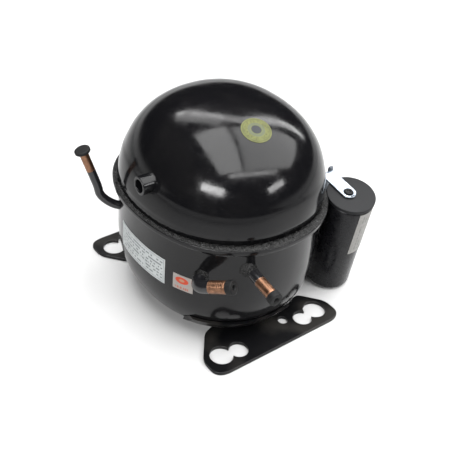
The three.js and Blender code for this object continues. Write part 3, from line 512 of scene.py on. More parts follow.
def ring_print(radius):
    """Yellow-green ring with specks and two darker circles round a dark grey middle."""
    look, film = printed_film("ring_print", (0.09, 0.096, 0.026), (0.055, 0.06, 0.02))
    across, up, _ = look.split(look.attribute("print"))
    reach = look.length(across, up)

    def band(middle, half, strength):
        return look.times(look.near(reach, radius * middle, radius * half), strength)

    specks = look.spread(look.noise(1.1, detail=2), 0.5, 0.6)
    speckled = look.mix(look.times(specks, band(0.71, 0.13, 0.6)), film, (0.014, 0.016, 0.007))
    banded = look.mix(band(0.47, 0.1, 0.8), speckled, (0.06, 0.07, 0.045))
    rimmed = look.mix(band(0.9, 0.035, 0.5), banded, (0.022, 0.024, 0.011))
    centre = look.math("LESS_THAN", reach, radius * 0.34)
    look.set("Base Color", look.mix(centre, rimmed, (0.018, 0.02, 0.023)))
    return look.material


def can_print(width, height):
    """Pale paper with columns of grey bars that run up the can."""
    look, film = printed_film("can_print", (0.23, 0.226, 0.215), (0.19, 0.187, 0.175))
    place = look.attribute("print")
    across, up, _ = look.split(place)
    turned_place = look.node("ShaderNodeCombineXYZ")
    look.feed(turned_place.inputs[0], up)
    look.feed(turned_place.inputs[1], across)
    bars = print_bars(look, 3.4, 2.0, 0.2, turned_place.outputs[0])
    area = inside_box(look, place, 2.0, width - 2.0, 2.5, height - 2.5)
    ink = look.times(look.times(bars, area), 0.7)
    look.set("Base Color", look.mix(ink, film, (0.1, 0.1, 0.1)))
    return look.material


# ---- mesh kit ----

SHARP_ANGLE = math.radians(38)


def add_piece(name, points, faces, material, **options):
    """Makes a piece from points in millimetres."""
    mesh = bpy.data.meshes.new(name)
    mesh.from_pydata([Vector(p) * MM for p in points], [], faces)
    mesh.validate()
    return declare(name, mesh, material, **options)


def declare(name, mesh, material, body="shell", replaces=(), slot=None):
    """Shades a mesh, makes an object of it, hangs it under its body's empty and hides the CAD nodes it
    replaces.
    """
    mesh.materials.append(material)
    mesh.shade_smooth()
    mesh.set_sharp_from_angle(angle=SHARP_ANGLE)
    piece = add_object(name, mesh)
    if body:
        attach(piece, body)
    if replaces:
        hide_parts(*replaces)
    return piece


def set_point_values(piece, name, values):
    layer = piece.data.attributes.new(name, "FLOAT_VECTOR", "POINT")
    layer.data.foreach_set("vector", [number for value in values for number in value])


def loft(rings, closed_loop=False, cap_start=False, cap_end=False):
    """Faces between rings of equal length; a closed loop joins the last ring to the first."""
    count = len(rings[0])
    points = [p for ring in rings for p in ring]
    faces = []
    last = len(rings) if closed_loop else len(rings) - 1
    for i in range(last):
        here, there = i * count, ((i + 1) % len(rings)) * count
        for j in range(count):
            k = (j + 1) % count
            faces.append((here + j, here + k, there + k, there + j))
    if cap_start:
        faces.append(tuple(reversed(range(count))))
    if cap_end:
        faces.append(tuple(range((len(rings) - 1) * count, len(rings) * count)))
    return points, faces


def signed_power(value, power):
    return math.copysign(abs(value) ** power, value)


def around(count):
    """Evenly spaced angles of one full turn."""
    return [2 * math.pi * i / count for i in range(count)]


def oval_unit(angle):
    power = 2 / OVAL_POWER
    return signed_power(math.cos(angle), power), signed_power(math.sin(angle), power)


def oval_ring(a, b, z, segments):
    return [(a * x, b * y, z) for x, y in (oval_unit(angle) for angle in around(segments))]


def rounded_corner(before, corner, after, cut, steps):
    """Points of a smooth curve that cuts a corner, from 'cut' before it to 'cut' after it."""
    start = step_towards(corner, before, cut)
    end = step_towards(corner, after, cut)
    curve = []
    for i in range(steps + 1):
        t = i / steps
        curve.append(tuple(
            (1 - t) ** 2 * p + 2 * t * (1 - t) * q + t * t * r for p, q, r in zip(start, corner, end)
        ))
    return curve


def rounded(corners, radius, steps=4):
    """Rounds the inner corners of an open outline of points with any number of coordinates."""
    outline = [corners[0]]
    for before, corner, after in zip(corners, corners[1:], corners[2:]):
        outline += rounded_corner(before, corner, after, radius, steps)
    outline.append(corners[-1])
    return outline


def step_towards(origin, target, distance):
    """A point on the way to the target, never past the middle, so two cuts of one side can't cross."""
    length = math.dist(origin, target)
    share = min(distance / length, 0.49) if length else 0
    return tuple(o + (t - o) * share for o, t in zip(origin, target))


def turned_rings(outline, segments=64):
    rings = []
    for radius, z in outline:
        reach = max(radius, TINY)
        rings.append([(reach * math.cos(angle), reach * math.sin(angle), z) for angle in around(segments)])
    return rings


def turned_piece(name, outline, material, place, segments=64, closed=False, **options):
    """A turned solid about Z, moved by 'place'; an open outline starts and ends on the axis."""
    points, faces = loft(turned_rings(outline, segments), closed, not closed, not closed)
    return add_piece(name, [place @ Vector(p) for p in points], faces, material, **options)


def direction(azimuth, elevation=0.0):
    around, up = math.radians(azimuth), math.radians(elevation)
    return Vector((math.cos(around) * math.cos(up), math.sin(around) * math.cos(up), math.sin(up)))


def aimed(start, along):
    turn = Vector((0, 0, 1)).rotation_difference(Vector(along).normalized())
    return Matrix.Translation(Vector(start)) @ turn.to_matrix().to_4x4()


def swept_rings(path, radii, sides):
    """Rings round a path of points, kept from twisting by carrying the side vector along."""
    tangents = [(after - before).normalized()
                for before, after in zip([path[0], *path], [*path[1:], path[-1]])]
    side = tangents[0].orthogonal().normalized()
    rings = []
    for point, tangent, radius in zip(path, tangents, radii):
        side = (side - tangent * side.dot(tangent)).normalized()
        lift = tangent.cross(side)
        rings.append([
            point + (side * math.cos(angle) + lift * math.sin(angle)) * radius
            for angle in around(sides)
        ])
    return rings


def bent_path(corners, radius):
    """Points along straight runs whose corners are rounded with the given radius."""
    outline = [Vector(p) for p in rounded([tuple(c) for c in corners], radius, 12)]
    return spaced(outline, PATH_SPACING)


def travelled(points):
    """Distance along a path of points, at each of them."""
    lengths = [0.0]
    for first, second in zip(points, points[1:]):
        lengths.append(lengths[-1] + (second - first).length)
    return lengths


def spaced(points, spacing):
    """The same path with evenly spaced points."""
    lengths = travelled(points)
    count = max(2, round(lengths[-1] / spacing))
    result = []
    index = 0
    for i in range(count + 1):
        target = lengths[-1] * i / count
        while index < len(points) - 2 and lengths[index + 1] < target:
            index += 1
        span = lengths[index + 1] - lengths[index]
        share = (target - lengths[index]) / span if span else 0
        result.append(points[index].lerp(points[index + 1], share))
    return result


def spline(points, steps=12):
    """A Catmull-Rom curve through the points."""
    guides = [points[0] * 2 - points[1], *points, points[-1] * 2 - points[-2]]
    result = []
    for p0, p1, p2, p3 in zip(guides, guides[1:], guides[2:], guides[3:]):
        for i in range(steps):
            t = i / steps
            result.append(0.5 * (2 * p1 + (p2 - p0) * t + (2 * p0 - 5 * p1 + 4 * p2 - p3) * t ** 2
                                 + (3 * p1 - p0 - 3 * p2 + p3) * t ** 3))
    result.append(points[-1])
    return result


def outline_piece(name, outlines, thick, place, material, bevel=0.35, **options):
    """A flat plate from closed outlines (the first is the edge, the rest are holes), with soft edges."""
    data = bpy.data.curves.new(name, "CURVE")
    data.dimensions = "2D"
    data.fill_mode = "BOTH"
    data.extrude = (thick / 2 - bevel) * MM
    data.bevel_depth = bevel * MM
    data.bevel_resolution = 2
    data.offset = -bevel * MM
    for outline in outlines:
        line = data.splines.new("POLY")
        line.points.add(len(outline) - 1)
        for point, (x, y) in zip(line.points, outline):
            point.co = (x * MM, y * MM, 0, 1)
        line.use_cyclic_u = True
    scratch = add_object(name + "_curve", data)
    mesh = bpy.data.meshes.new_from_object(scratch.evaluated_get(bpy.context.evaluated_depsgraph_get()))
    bpy.data.objects.remove(scratch)
    bpy.data.curves.remove(data)
    mesh.name = name
    mesh.transform(Matrix.Scale(MM, 4) @ place @ Matrix.Scale(1 / MM, 4))
    mesh.materials.clear()
    return declare(name, mesh, material, **options)


def arc(x, y, radius, start, end, steps=24):
    return [
        (x + radius * math.cos(start + (end - start) * i / steps),
         y + radius * math.sin(start + (end - start) * i / steps))
        for i in range(steps + 1)
    ]


def circle(x, y, radius, steps=48):
    return arc(x, y, radius, 0, 2 * math.pi, steps)[:-1]


# ---- shell surfaces ----

def bowl(offset, steps):
    """Outline of the lower shell from its upright side down to where the flat bottom starts."""
    a, b, depth = LOWER["a"] + offset, LOWER["b"] + offset, LOWER["depth"] + offset
    power = 2 / LOWER["power"]
    last = math.acos(LOWER["flat"] ** (LOWER["power"] / 2))
    outline = []
    for i in range(steps + 1):
        angle = last * i / steps
        share = math.cos(angle) ** power
        outline.append((a * share, b * share, LOWER["bowl"] - depth * math.sin(angle) ** power))
    return outline


def knuckle(outline):
    """Leaves the draw line on the dome: the wall stands a little proud below it."""
    marked = []
    for a, b, z in outline:
        proud = KNUCKLE["step"] / (1 + math.exp((z - KNUCKLE["z"]) * KNUCKLE["sharpness"]))
        marked.append((a + proud, b + proud, z))
    return marked


def dome_profile(t):
    """Share of the base plan and share of the rise along the dome: upright at 0, level at 1."""
    plan = (1 - t) ** 3 + 3 * t * (1 - t) ** 2 + 3 * t * t * (1 - t) * UPPER["top_reach"]
    rise = 3 * t * (1 - t) ** 2 * UPPER["side_reach"] + 3 * t * t * (1 - t) + t ** 3
    return plan, rise


def upper_outline(offset, steps):
    height = UPPER["top"] + offset - UPPER["dome"]
    dome = []
    for i in range(steps + 1):
        plan, rise = dome_profile(i / steps)
        dome.append(((UPPER["crown_a"] + offset) * plan, (UPPER["crown_b"] + offset) * plan,
                     UPPER["dome"] + height * rise))
    skirt = [(UPPER["a"] + offset, UPPER["b"] + offset, UPPER["rim"]),
             (UPPER["a"] + offset, UPPER["b"] + offset, UPPER["skirt"])]
    return skirt + dome


def lower_outline(offset, steps):
    side = bowl(offset, steps)
    floor_z = side[-1][2]
    return [(TINY, TINY, floor_z), *reversed(side)]


SHELL_SEGMENTS = 192


def lean_at(z):
    """How far the dome's oval has moved sideways at a height."""
    share = max(0.0, z - UPPER["dome"]) / (UPPER["top"] - UPPER["dome"])
    return UPPER["lean_x"] * share, UPPER["lean_y"] * share


def shell_rings(outline):
    rings = []
    for a, b, z in outline:
        shift_x, shift_y = lean_at(z)
        ring = oval_ring(max(a, TINY), max(b, TINY), z, SHELL_SEGMENTS)
        rings.append([(x + shift_x, y + shift_y, z) for x, y, _ in ring])
    return rings


def upper_shell(paint):
    outside = upper_outline(0, 72)
    outer = [outside[0]] + rounded(outside[1:4], 2.0) + knuckle(outside[4:])
    inner = list(reversed(upper_outline(-WALL, 24)))
    points, faces = loft(shell_rings(outer + inner), closed_loop=True)
    add_piece("upper_shell_skin", points, faces, paint, replaces=["upper_shell"], slot="shell_paint")


def lower_shell(paint):
    lip = FLANGE["lip"]
    neck = rounded([
        (LOWER["a"], LOWER["b"], LOWER["bowl"] + FLANGE["neck"]),
        (LOWER["a"], LOWER["b"], FLANGE["flare"]),
        (FLANGE["a"], FLANGE["b"], FLANGE["corner"]),
        (FLANGE["a"], FLANGE["b"], FLANGE["top"]),
        (FLANGE["a"] - lip, FLANGE["b"] - lip, FLANGE["top"]),
        (FLANGE["a"] - lip, FLANGE["b"] - lip, FLANGE["corner"] + FLANGE["inner_rise"]),
        (LOWER["a"] - WALL, LOWER["b"] - WALL, FLANGE["flare"] + FLANGE["inner_rise"]),
        (LOWER["a"] - WALL, LOWER["b"] - WALL, LOWER["bowl"] + FLANGE["neck"]),
    ], 0.8)
    inner = list(reversed(lower_outline(-WALL, 24)))
    points, faces = loft(shell_rings(lower_outline(0, 48) + neck + inner), closed_loop=True)
    add_piece("lower_shell_skin", points, faces, paint, replaces=["lower_shell"], slot="shell_paint")


def weld_bead(metal):
    """A rippled bead that runs from the dome's skirt to the flange lip, all the way round."""
    inner = (UPPER["a"] + BEAD["inner_gap"], UPPER["b"] + BEAD["inner_gap"])
    outer = (FLANGE["a"] - BEAD["outer_gap"], FLANGE["b"] - BEAD["outer_gap"])
    across = BEAD["across"]
    (ripples, ripple_height), (lumps, lump_height), (grains, grain_height) = (
        BEAD[key] for key in ("ripple", "lump", "grain"))
    rings = []
    for angle in around(BEAD["steps"]):
        unit = oval_unit(angle)
        ripple = noise.noise(Vector((angle * ripples, 0.5, 2.0))) * ripple_height
        lump = noise.noise(Vector((angle * lumps, 4.5, 1.0))) * lump_height
        ring = [(inner[0] * unit[0], inner[1] * unit[1], BEAD["root"])]
        for j in range(across):
            share = j / (across - 1)
            grain = noise.noise(Vector((angle * grains, share * 4, 7.0))) * grain_height
            hump = math.sin(math.pi * share) ** BEAD["roundness"] * BEAD["fullness"]
            height = BEAD["height"] + ripple + lump + grain
            a = inner[0] + (outer[0] - inner[0]) * share
            b = inner[1] + (outer[1] - inner[1]) * share
            z = BEAD["seat"] + BEAD["tilt"] * (1 - share) + height * hump
            ring.append((a * unit[0], b * unit[1], z))
        ring.append((outer[0] * unit[0], outer[1] * unit[1], BEAD["root"]))
        rings.append(ring)
    points, faces = loft(rings, closed_loop=True)
    add_piece("weld_seam", points, faces, metal, replaces=["shell_weld_bead"], slot="weld")


def lower_axes(z, lift):
    """The lower shell's half lengths along X and Y at a height, lifted outwards."""
    depth_share = min(1.0, max(0.0, LOWER["bowl"] - z) / LOWER["depth"])
    share = (1 - depth_share ** LOWER["power"]) ** (1 / LOWER["power"])
    return LOWER["a"] * share + lift, LOWER["b"] * share + lift


def oval_reach(half, share):
    """How far an oval reaches along one axis at a share of the way along the other."""
    return half * (1 - min(1.0, abs(share)) ** OVAL_POWER) ** (1 / OVAL_POWER)


def lower_surface(y, z, lift):
    """A point on the -X side of the lower shell, lifted outwards."""
    a, b = lower_axes(z, lift)
    return -oval_reach(a, y / b), y, z


def dome_surface(x, y):
    """The point of the dome above a place in plan, found by halving the way up its profile."""
    low, high = 0.0, 1.0
    for _ in range(30):
        t = (low + high) / 2
        plan, rise = dome_profile(t)
        z = UPPER["dome"] + (UPPER["top"] - UPPER["dome"]) * rise
        shift_x, shift_y = lean_at(z)
        across = abs((x - shift_x) / UPPER["crown_a"]) ** OVAL_POWER
        along = abs((y - shift_y) / UPPER["crown_b"]) ** OVAL_POWER
        if (across + along) ** (1 / OVAL_POWER) > plan:
            high = t
        else:
            low = t
    return Vector((x, y, z))


# ---- feet ----

def figure_eight(sign, mirror):
    """The outline of a wide and a narrow hole that overlap."""
    (x0, y0, r0), (x1, y1, r1) = HOLE_WIDE, HOLE_NARROW
    x0, x1, y0, y1 = x0 * mirror, x1 * mirror, -y0, -y1
    gap = math.dist((x0, y0), (x1, y1))
    facing = math.atan2(y1 - y0, x1 - x0)
    half_wide = math.acos((gap ** 2 + r0 ** 2 - r1 ** 2) / (2 * gap * r0))
    half_narrow = math.acos((gap ** 2 + r1 ** 2 - r0 ** 2) / (2 * gap * r1))
    wide = arc(x0, y0, r0, facing + half_wide, facing + 2 * math.pi - half_wide, 40)
    narrow = arc(x1, y1, r1, facing + math.pi + half_narrow, facing + 3 * math.pi - half_narrow, 36)
    return [(x * sign, y * sign) for x, y in wide + narrow]


def soft_outline(corners, steps=8):
    """A closed outline whose corners (x, y, cut) are rounded from 'cut' before to 'cut' after."""
    outline = []
    for before, (x, y, cut), after in zip([corners[-1], *corners], corners, [*corners[1:], corners[0]]):
        outline += rounded_corner(before[:2], (x, y), after[:2], cut, steps)
    return outline


def foot_outline():
    inner, right = SADDLE["inner"], SADDLE["right"]
    return soft_outline([
        (FOOT_SIDE, -FOOT_EDGE, 14), (FOOT_SIDE, -FOOT_EAR, 6), (50, -59.5, 4), (36, -65, 8),
        (right, -66.8, 1), (right, -inner - 9, 1), (-30, -inner - 9, 1), (-47, -54.5, 4),
        (-FOOT_SIDE, -FOOT_EAR, 6), (-FOOT_SIDE, -FOOT_EDGE, 14),
    ])


def saddle_rings():
    """Outer and inner skins of the saddle that rises against the lower shell."""
    rows, columns = 14, 40
    skins = []
    for lift in SADDLE["lifts"]:
        skin = []
        for i in range(rows + 1):
            z = SADDLE["bottom"] + (SADDLE["top"] - SADDLE["bottom"]) * i / rows
            a, b = lower_axes(z, lift)
            reach = oval_reach(a, SADDLE["inner"] / b)
            left, right = max(SADDLE["left"], -reach), min(SADDLE["right"], reach)
            skin.append([
                (x, -oval_reach(b, x / a), z)
                for x in (left + (right - left) * j / columns for j in range(columns + 1))
            ])
        skins.append(skin)
    return [outer + inner[::-1] for outer, inner in zip(*skins)]


def foot(name, paint, sign):
    turn = Matrix.Rotation(0 if sign > 0 else math.pi, 4, "Z")
    edge = foot_outline()
    x, y, radius = HOLE_EARTH
    holes = [figure_eight(1, 1), figure_eight(1, -1), circle(x, -y, radius)]
    place = turn @ Matrix.Translation((0, 0, FOOT_THICK / 2))
    outline_piece(name + "_plate", [edge, *holes], FOOT_THICK, place, paint, bevel=0.5,
                  replaces=[name], slot="shell_paint")
    points, faces = loft(saddle_rings(), cap_start=True, cap_end=True)
    add_piece(name + "_saddle", [turn @ Vector(p) for p in points], faces, paint, slot="shell_paint")


# ---- tubes, plugs and stub ----

def outward_at(x, y):
    """The level direction straight out of the lower shell's oval at a place in plan."""
    slope = Vector((signed_power(x / LOWER["a"], OVAL_POWER - 1) / LOWER["a"],
                    signed_power(y / LOWER["b"], OVAL_POWER - 1) / LOWER["b"], 0))
    return slope.normalized()


SUCTION["leave"] = outward_at(*SUCTION["entry"][:2])
CHARGE["leave"] = direction(CHARGE["azimuth"], CHARGE["elevation"])
DISCHARGE["leave"] = direction(DISCHARGE["azimuth"])


def along_entry(tube, distance):
    return Vector(tube["entry"]) + tube["leave"] * distance


SUCTION_AIM = direction(SUCTION["azimuth"], SUCTION["elevation"])
SUCTION_CORNER = along_entry(SUCTION, SUCTION["out"])
SUCTION_END = SUCTION_CORNER + SUCTION_AIM * SUCTION["run"]
CHARGE_END = along_entry(CHARGE, CHARGE["run"])
RISE_POINTS = [along_entry(DISCHARGE, out) + Vector((0, 0, up)) for out, up in RISE]
DISCHARGE_END = RISE_POINTS[-1]
DISCHARGE_AIM = (RISE_POINTS[-1] - RISE_POINTS[-2]).normalized()


def tube(name, node, path, facts, copper):
    """An open-ended tube whose last stretch is left unpainted."""
    outer, inner = facts["outer"], facts["inner"]
    outer_radii = [outer] * (len(path) - 2) + [outer - cut for cut in TUBE_END_ROUND]
    outside = swept_rings(path, outer_radii, TUBE_SIDES)
    inside = swept_rings(path, [inner] * len(path), TUBE_SIDES)[::-1]
    points, faces = loft(outside + inside, closed_loop=True)
    piece = add_piece(name, points, faces, copper, replaces=[node], slot="copper")
    lengths = travelled(path)
    along = [length - (lengths[-1] - facts["bare"]) for length in lengths]
    values = [(value, 0.0, 0.0) for value in along + along[::-1] for _ in range(TUBE_SIDES)]
    set_point_values(piece, "along", values)


def stopper(name, start, aim, tube_inner, rubber):
    """A dimpled rubber plug pushed into a tube's end."""
    radius, length, stem = PLUG["radius"], PLUG["length"], PLUG["stem"]
    dimple, depth = PLUG["dimple"], PLUG["depth"]
    stem_radius = tube_inner - PLUG_GAP
    outline = rounded([
        (0.0, -stem), (stem_radius - 0.4, -stem), (stem_radius, -stem + 2), (stem_radius, PLUG_GAP),
        (radius, PLUG_GAP), (radius, length), (dimple, length), (dimple * 0.8, length - depth),
        (0.0, length - depth),
    ], 0.9, 5)
    turned_piece(name + "_rubber", outline, rubber, aimed(start, aim),
                 body=name, replaces=[name], slot="rubber")


def mushroom_cap(rubber):
    radius, stem = MUSHROOM["radius"], MUSHROOM["stem"]
    stem_radius = DISCHARGE["inner"] - PLUG_GAP
    outline = rounded([
        (0.0, -stem), (stem_radius, -stem), (stem_radius, PLUG_GAP), (radius, PLUG_GAP),
        (radius, MUSHROOM["rim"]), (0.0, MUSHROOM["top"]),
    ], 0.8, 5)
    turned_piece("discharge_cap_rubber", outline, rubber, aimed(DISCHARGE_END, DISCHARGE_AIM),
                 body="discharge_cap", replaces=["discharge_cap"], slot="rubber")


def braze(name, facts, reach, spread, metal):
    """A lumpy fillet of filler round a tube where it leaves the shell."""
    place = aimed(facts["entry"], facts["leave"])
    start, steps = BRAZE["start"], BRAZE["steps"]
    rings = []
    for i in range(steps + 1):
        share = i / steps
        ring = []
        for angle in around(BRAZE["segments"]):
            x, y = math.cos(angle), math.sin(angle)
            lump = noise.noise(Vector((x * BRAZE["lumps"], y * BRAZE["lumps"], share * 3 + reach)))
            flare = spread * (1 - share) ** BRAZE["taper"] * (1 + BRAZE["lump_share"] * lump)
            radius = facts["outer"] + BRAZE["clearance"] + flare
            ring.append((radius * x, radius * y, start + (reach - start) * share))
        rings.append(ring)
    inside = BRAZE["bore"]
    bore = [[(x * inside, y * inside, z) for x, y, z in ring] for ring in (rings[-1], rings[0])]
    points, faces = loft(rings + bore, closed_loop=True)
    points = [place @ Vector(p) for p in points]
    add_piece(name + "_filler", points, faces, metal, replaces=[name], slot="weld")


def side_stub(paint):
    """The short hollow stub on the side of the upper shell."""
    outer, inner, length, root = (STUB[key] for key in ("outer", "inner", "length", "root"))
    outline = rounded([(inner, root), (outer, root), (outer, length), (inner, length), (inner, root)], 0.7, 4)
    turned_piece("stub_ring", outline[:-1], paint, aimed(STUB["at"], direction(STUB["azimuth"])), closed=True,
                 replaces=["side_stub"], slot="shell_paint")


# ---- what links the sprung pump to the shell ----

def stretchy(name, node, path, radius, material, slot, start):
    """A round rod or wire swept along a path and left free of any body; 'start' is not used."""
    rings = swept_rings(path, [radius] * len(path), LINK_SIDES)
    points, faces = loft(rings, cap_start=True, cap_end=True)
    piece = add_piece(name, points, faces, material, body=None, replaces=[node], slot=slot)
    Vector(start) * MM
    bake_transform(piece)


def suspension_springs(steel):
    """Coils that stand on the shell's studs and carry the stator bolts."""
    mean, wire, turns, at = (SPRING[k] for k in ("mean", "wire", "turns", "at"))
    low, high = SPRING["low"], SPRING["high"]
    steps = turns * 24
    for i, (x, y) in enumerate(((at, at), (-at, at), (-at, -at), (at, -at))):
        path = []
        for k in range(steps + 1):
            angle = 2 * math.pi * turns * k / steps
            z = low + wire + (high - low - 2 * wire) * k / steps
            path.append(Vector((x + mean * math.cos(angle), y + mean * math.sin(angle), z)))
        stretchy(f"spring_coil_{i + 1}", f"suspension_spring_{i + 1}", path, wire, steel, "steel",
                 (x, y, low))


def pump_lines(copper, sleeve):
    """The shock loop from the cylinder head to the discharge tube, and the motor's leads."""
    ends = [along_entry(DISCHARGE, out) for out in SHOCK_LOOP_ENDS]
    loop = spaced(spline([Vector(p) for p in SHOCK_LOOP] + ends), LINE_SPACING)
    stretchy("shock_loop_line", "discharge_shock_loop", loop, SHOCK_LOOP_RADIUS, copper, "copper",
             ends[1])
    leads = spaced(spline([Vector(p) for p in LEADS]), LINE_SPACING)
    stretchy("lead_sleeve", "motor_leads", leads, LEADS_RADIUS, sleeve, "lead", LEADS[0])


# ---- capacitor, bracket and cover ----

CAN_PLACE = aimed(CAN["top"], CAN["axis"])
HOOK = Matrix.Translation((*BRACKET["hook"], 0))
FACING_FRONT = Matrix.Rotation(math.pi / 2, 4, "X")


def capacitor(can_plastic, cap_plastic):
    """The can, its end disc and the stud that the bracket hooks over."""
    radius, length, thick = CAN["radius"], CAN["length"], CAN["thick"]
    can = rounded([(0.0, -length), (radius, -length), (radius, -0.3), (0.0, -0.3)], 3.2, 8)
    turned_piece("capacitor_body", can, can_plastic, CAN_PLACE, CAN_SEGMENTS,
                 replaces=["capacitor_can"], slot="can_plastic")
    cap = rounded([(0.0, 0.0), (CAN["cap"], 0.0), (CAN["cap"], thick), (0.0, thick)], 0.6, 4)
    turned_piece("capacitor_lid", cap, cap_plastic, CAN_PLACE, CAN_SEGMENTS,
                 replaces=["capacitor_cap"], slot="cap_plastic")
    stud = rounded([
        (0.0, thick - 1), (BRACKET["stud"], thick - 1), (BRACKET["stud"], thick + 3.0), (1.9, thick + 3.0),
        (1.6, thick + 1.9), (0.0, thick + 1.9),
    ], 0.5, 4)
    turned_piece("capacitor_stud", stud, cap_plastic, CAN_PLACE @ HOOK, SMALL_SEGMENTS, slot="cap_plastic")


def bracket(zinc):
    """The strap over the lid, its fold, and the leg that crosses to the terminal cover."""
    half, thick, reach = BRACKET["width"] / 2, BRACKET["thick"], BRACKET["reach"]
    far = reach - 1.2 - BRACKET["hook"][1]
    strap = arc(0, 0, half, math.pi, 2 * math.pi, 32) + [(half, far), (-half, far)]
    slot = [(-1.9, -5.6), (1.9, -5.6), (1.9, -4.9), (-1.9, -4.9)]
    lift = CAN["thick"] + BRACKET["gap"] + thick / 2
    place = CAN_PLACE @ HOOK @ Matrix.Translation((0, 0, lift))
    outline_piece("bracket_strap", [strap, circle(0, 0, BRACKET["hole"]), slot], thick, place, zinc,
                  bevel=0.3, replaces=["capacitor_bracket"], slot="zinc")
    leg_y, shelf, tab_y = BRACKET["leg"], BRACKET["shelf"], BRACKET["tab"]
    top = (CAN_PLACE @ Vector((0, reach - 1.6, lift))).yz
    line = [tuple(top), (leg_y - thick / 2, top[1] + 0.4), (leg_y - thick / 2, shelf + thick / 2),
            (tab_y + thick / 2, shelf + thick / 2), (tab_y + thick / 2, BRACKET["tab_z"])]
    add_strip("bracket_leg", rounded(line, 2.4, 6), zinc)
    tongue = [(-2.5, -4), (2.5, -4), (2.5, 2.6), (1.4, 4), (-1.4, 4), (-2.5, 2.6)]
    seat = Matrix.Translation((BRACKET["middle"] + 3.5, leg_y - thick / 2, BRACKET["tongue_z"]))
    outline_piece("bracket_tab", [tongue], thick, seat @ FACING_FRONT, zinc, bevel=0.25, slot="zinc")


def add_strip(name, line, material):
    """The bracket's strip, along a line of (y, z) points; each cross-section has cut corners."""
    bevel = 0.25
    half_width, half_thick = BRACKET["width"] / 2, BRACKET["thick"] / 2
    rings = []
    for i, (y, z) in enumerate(line):
        before, after = line[max(i - 1, 0)], line[min(i + 1, len(line) - 1)]
        tangent = Vector((after[0] - before[0], after[1] - before[1])).normalized()
        normal = Vector((-tangent.y, tangent.x))
        section = []
        for x, n in ((1, 1), (-1, 1), (-1, -1), (1, -1)):
            for cut_x, cut_n in (((0, 1), (1, 0)) if x * n > 0 else ((1, 0), (0, 1))):
                off = n * (half_thick - bevel * cut_x)
                place_x = BRACKET["middle"] + x * (half_width - bevel * cut_n)
                section.append((place_x, y + normal.x * off, z + normal.y * off))
        rings.append(section)
    points, faces = loft(rings, cap_start=True, cap_end=True)
    add_piece(name, points, faces, material, slot="zinc")


def bracket_screw(steel):
    """Pan-head screw through the bracket's tab."""
    place = Matrix.Translation((BRACKET["middle"], BRACKET["tab"] - 0.3, BRACKET["screw"])) @ FACING_FRONT
    shank, length, head = SCREW["shank"], SCREW["length"], SCREW["head"]
    outline = rounded([
        (0.0, -length), (shank, -length), (shank, 0.0), (head, 0.0), (head, SCREW["rim"]),
        (0.0, SCREW["crown"]),
    ], 0.5, 4)
    turned_piece("bracket_screw_body", outline, steel, place, SMALL_SEGMENTS,
                 replaces=["bracket_screw"], slot="steel")


def rounded_rect(x0, x1, y0, y1, radius, steps=10):
    return (arc(x1 - radius, y1 - radius, radius, 0, math.pi / 2, steps)
            + arc(x0 + radius, y1 - radius, radius, math.pi / 2, math.pi, steps)
            + arc(x0 + radius, y0 + radius, radius, math.pi, 1.5 * math.pi, steps)
            + arc(x1 - radius, y0 + radius, radius, 1.5 * math.pi, 2 * math.pi, steps))


def terminal_cover(plastic):
    """A moulded cover over the terminals, closed by the shell's own side."""
    y0, y1, z0, z1, outer, sheet = (COVER[key] for key in ("y0", "y1", "z0", "z1", "outer", "sheet"))
    root, middle_inset = COVER["root"], COVER["middle"]

    def ring(inset, x):
        radius = max(COVER["corner"] - inset, 0.5)
        return [
            (max(x, side_x(y, z) + COVER["gap"]) if x < COVER["follows_shell_to"] else x, y, z)
            for y, z in rounded_rect(y0 + inset, y1 - inset, z0 + inset, z1 - inset, radius)
        ]

    outline = rounded([(0.0, root), (0.0, outer), (middle_inset, outer)], 2.0, 6)
    inner = rounded([(middle_inset, outer - sheet), (sheet, outer - sheet), (sheet, root)], 1.2, 4)
    rings = [ring(inset, x) for inset, x in outline[:-1]]
    rings.append([(outer, y, z) for y, z in squeezed(rings[-1])])
    back = [ring(inset, x) for inset, x in inner[1:]]
    back.insert(0, [(outer - sheet, y, z) for y, z in squeezed(back[0])])
    points, faces = loft(rings + back)
    count = len(rings[0])
    start = len(points) - count
    faces += [(start + j, start + (j + 1) % count, (j + 1) % count, j) for j in range(count)]
    middle = (len(rings) - 1) * count
    faces = [f for f in faces if not (middle <= f[0] < middle + count and f[2] >= middle + count)]
    faces.append(tuple(range(middle, middle + count)))
    faces.append(tuple(reversed(range(middle + count, middle + 2 * count))))
    add_piece("terminal_cover_shell", points, faces, plastic,
              replaces=["terminal_cover"], slot="cover_plastic")


def squeezed(ring):
    """The same outline drawn in a little, to hold the flat face that closes it."""
    centre_y = sum(p[1] for p in ring) / len(ring)
    centre_z = sum(p[2] for p in ring) / len(ring)
    share = COVER["squeeze"]
    return [(centre_y + (y - centre_y) * share, centre_z + (z - centre_z) * share) for _, y, z in ring]


def side_x(y, z):
    """How far out the lower shell's +X side is at a height and a place along the foot."""
    return -lower_surface(y, z, 0.0)[0]


# ---- labels ----

def film(name, node, slot, material, surface, size, cells):
    """A thin film with its print coordinates; surface(u, v, lift) gives a point, u and v run 0 to 1."""
    (width, height), (columns, rows) = size, cells
    grid = [(i / columns, j / rows) for j in range(rows + 1) for i in range(columns + 1)]
    points = [surface(u, v, lift) for lift in FILM_LIFTS for u, v in grid]
    stride = columns + 1
    layer = stride * (rows + 1)
    faces = []
    for j in range(rows):
        for i in range(columns):
            k = j * stride + i
            faces.append((k, k + stride, k + stride + 1, k + 1))
            faces.append(tuple(layer + n for n in (k, k + 1, k + stride + 1, k + stride)))
    border = [*range(columns), *range(columns, rows * stride, stride),
              *range(layer - 1, rows * stride, -1), *range(rows * stride, 0, -stride)]
    for first, second in zip(border, border[1:] + border[:1]):
        faces.append((first, second, layer + second, layer + first))
    piece = add_piece(name, points, faces, material, replaces=[node], slot=slot)
    set_point_values(piece, "print", [(width * u, height * v, 0.0) for _ in FILM_LIFTS for u, v in grid])


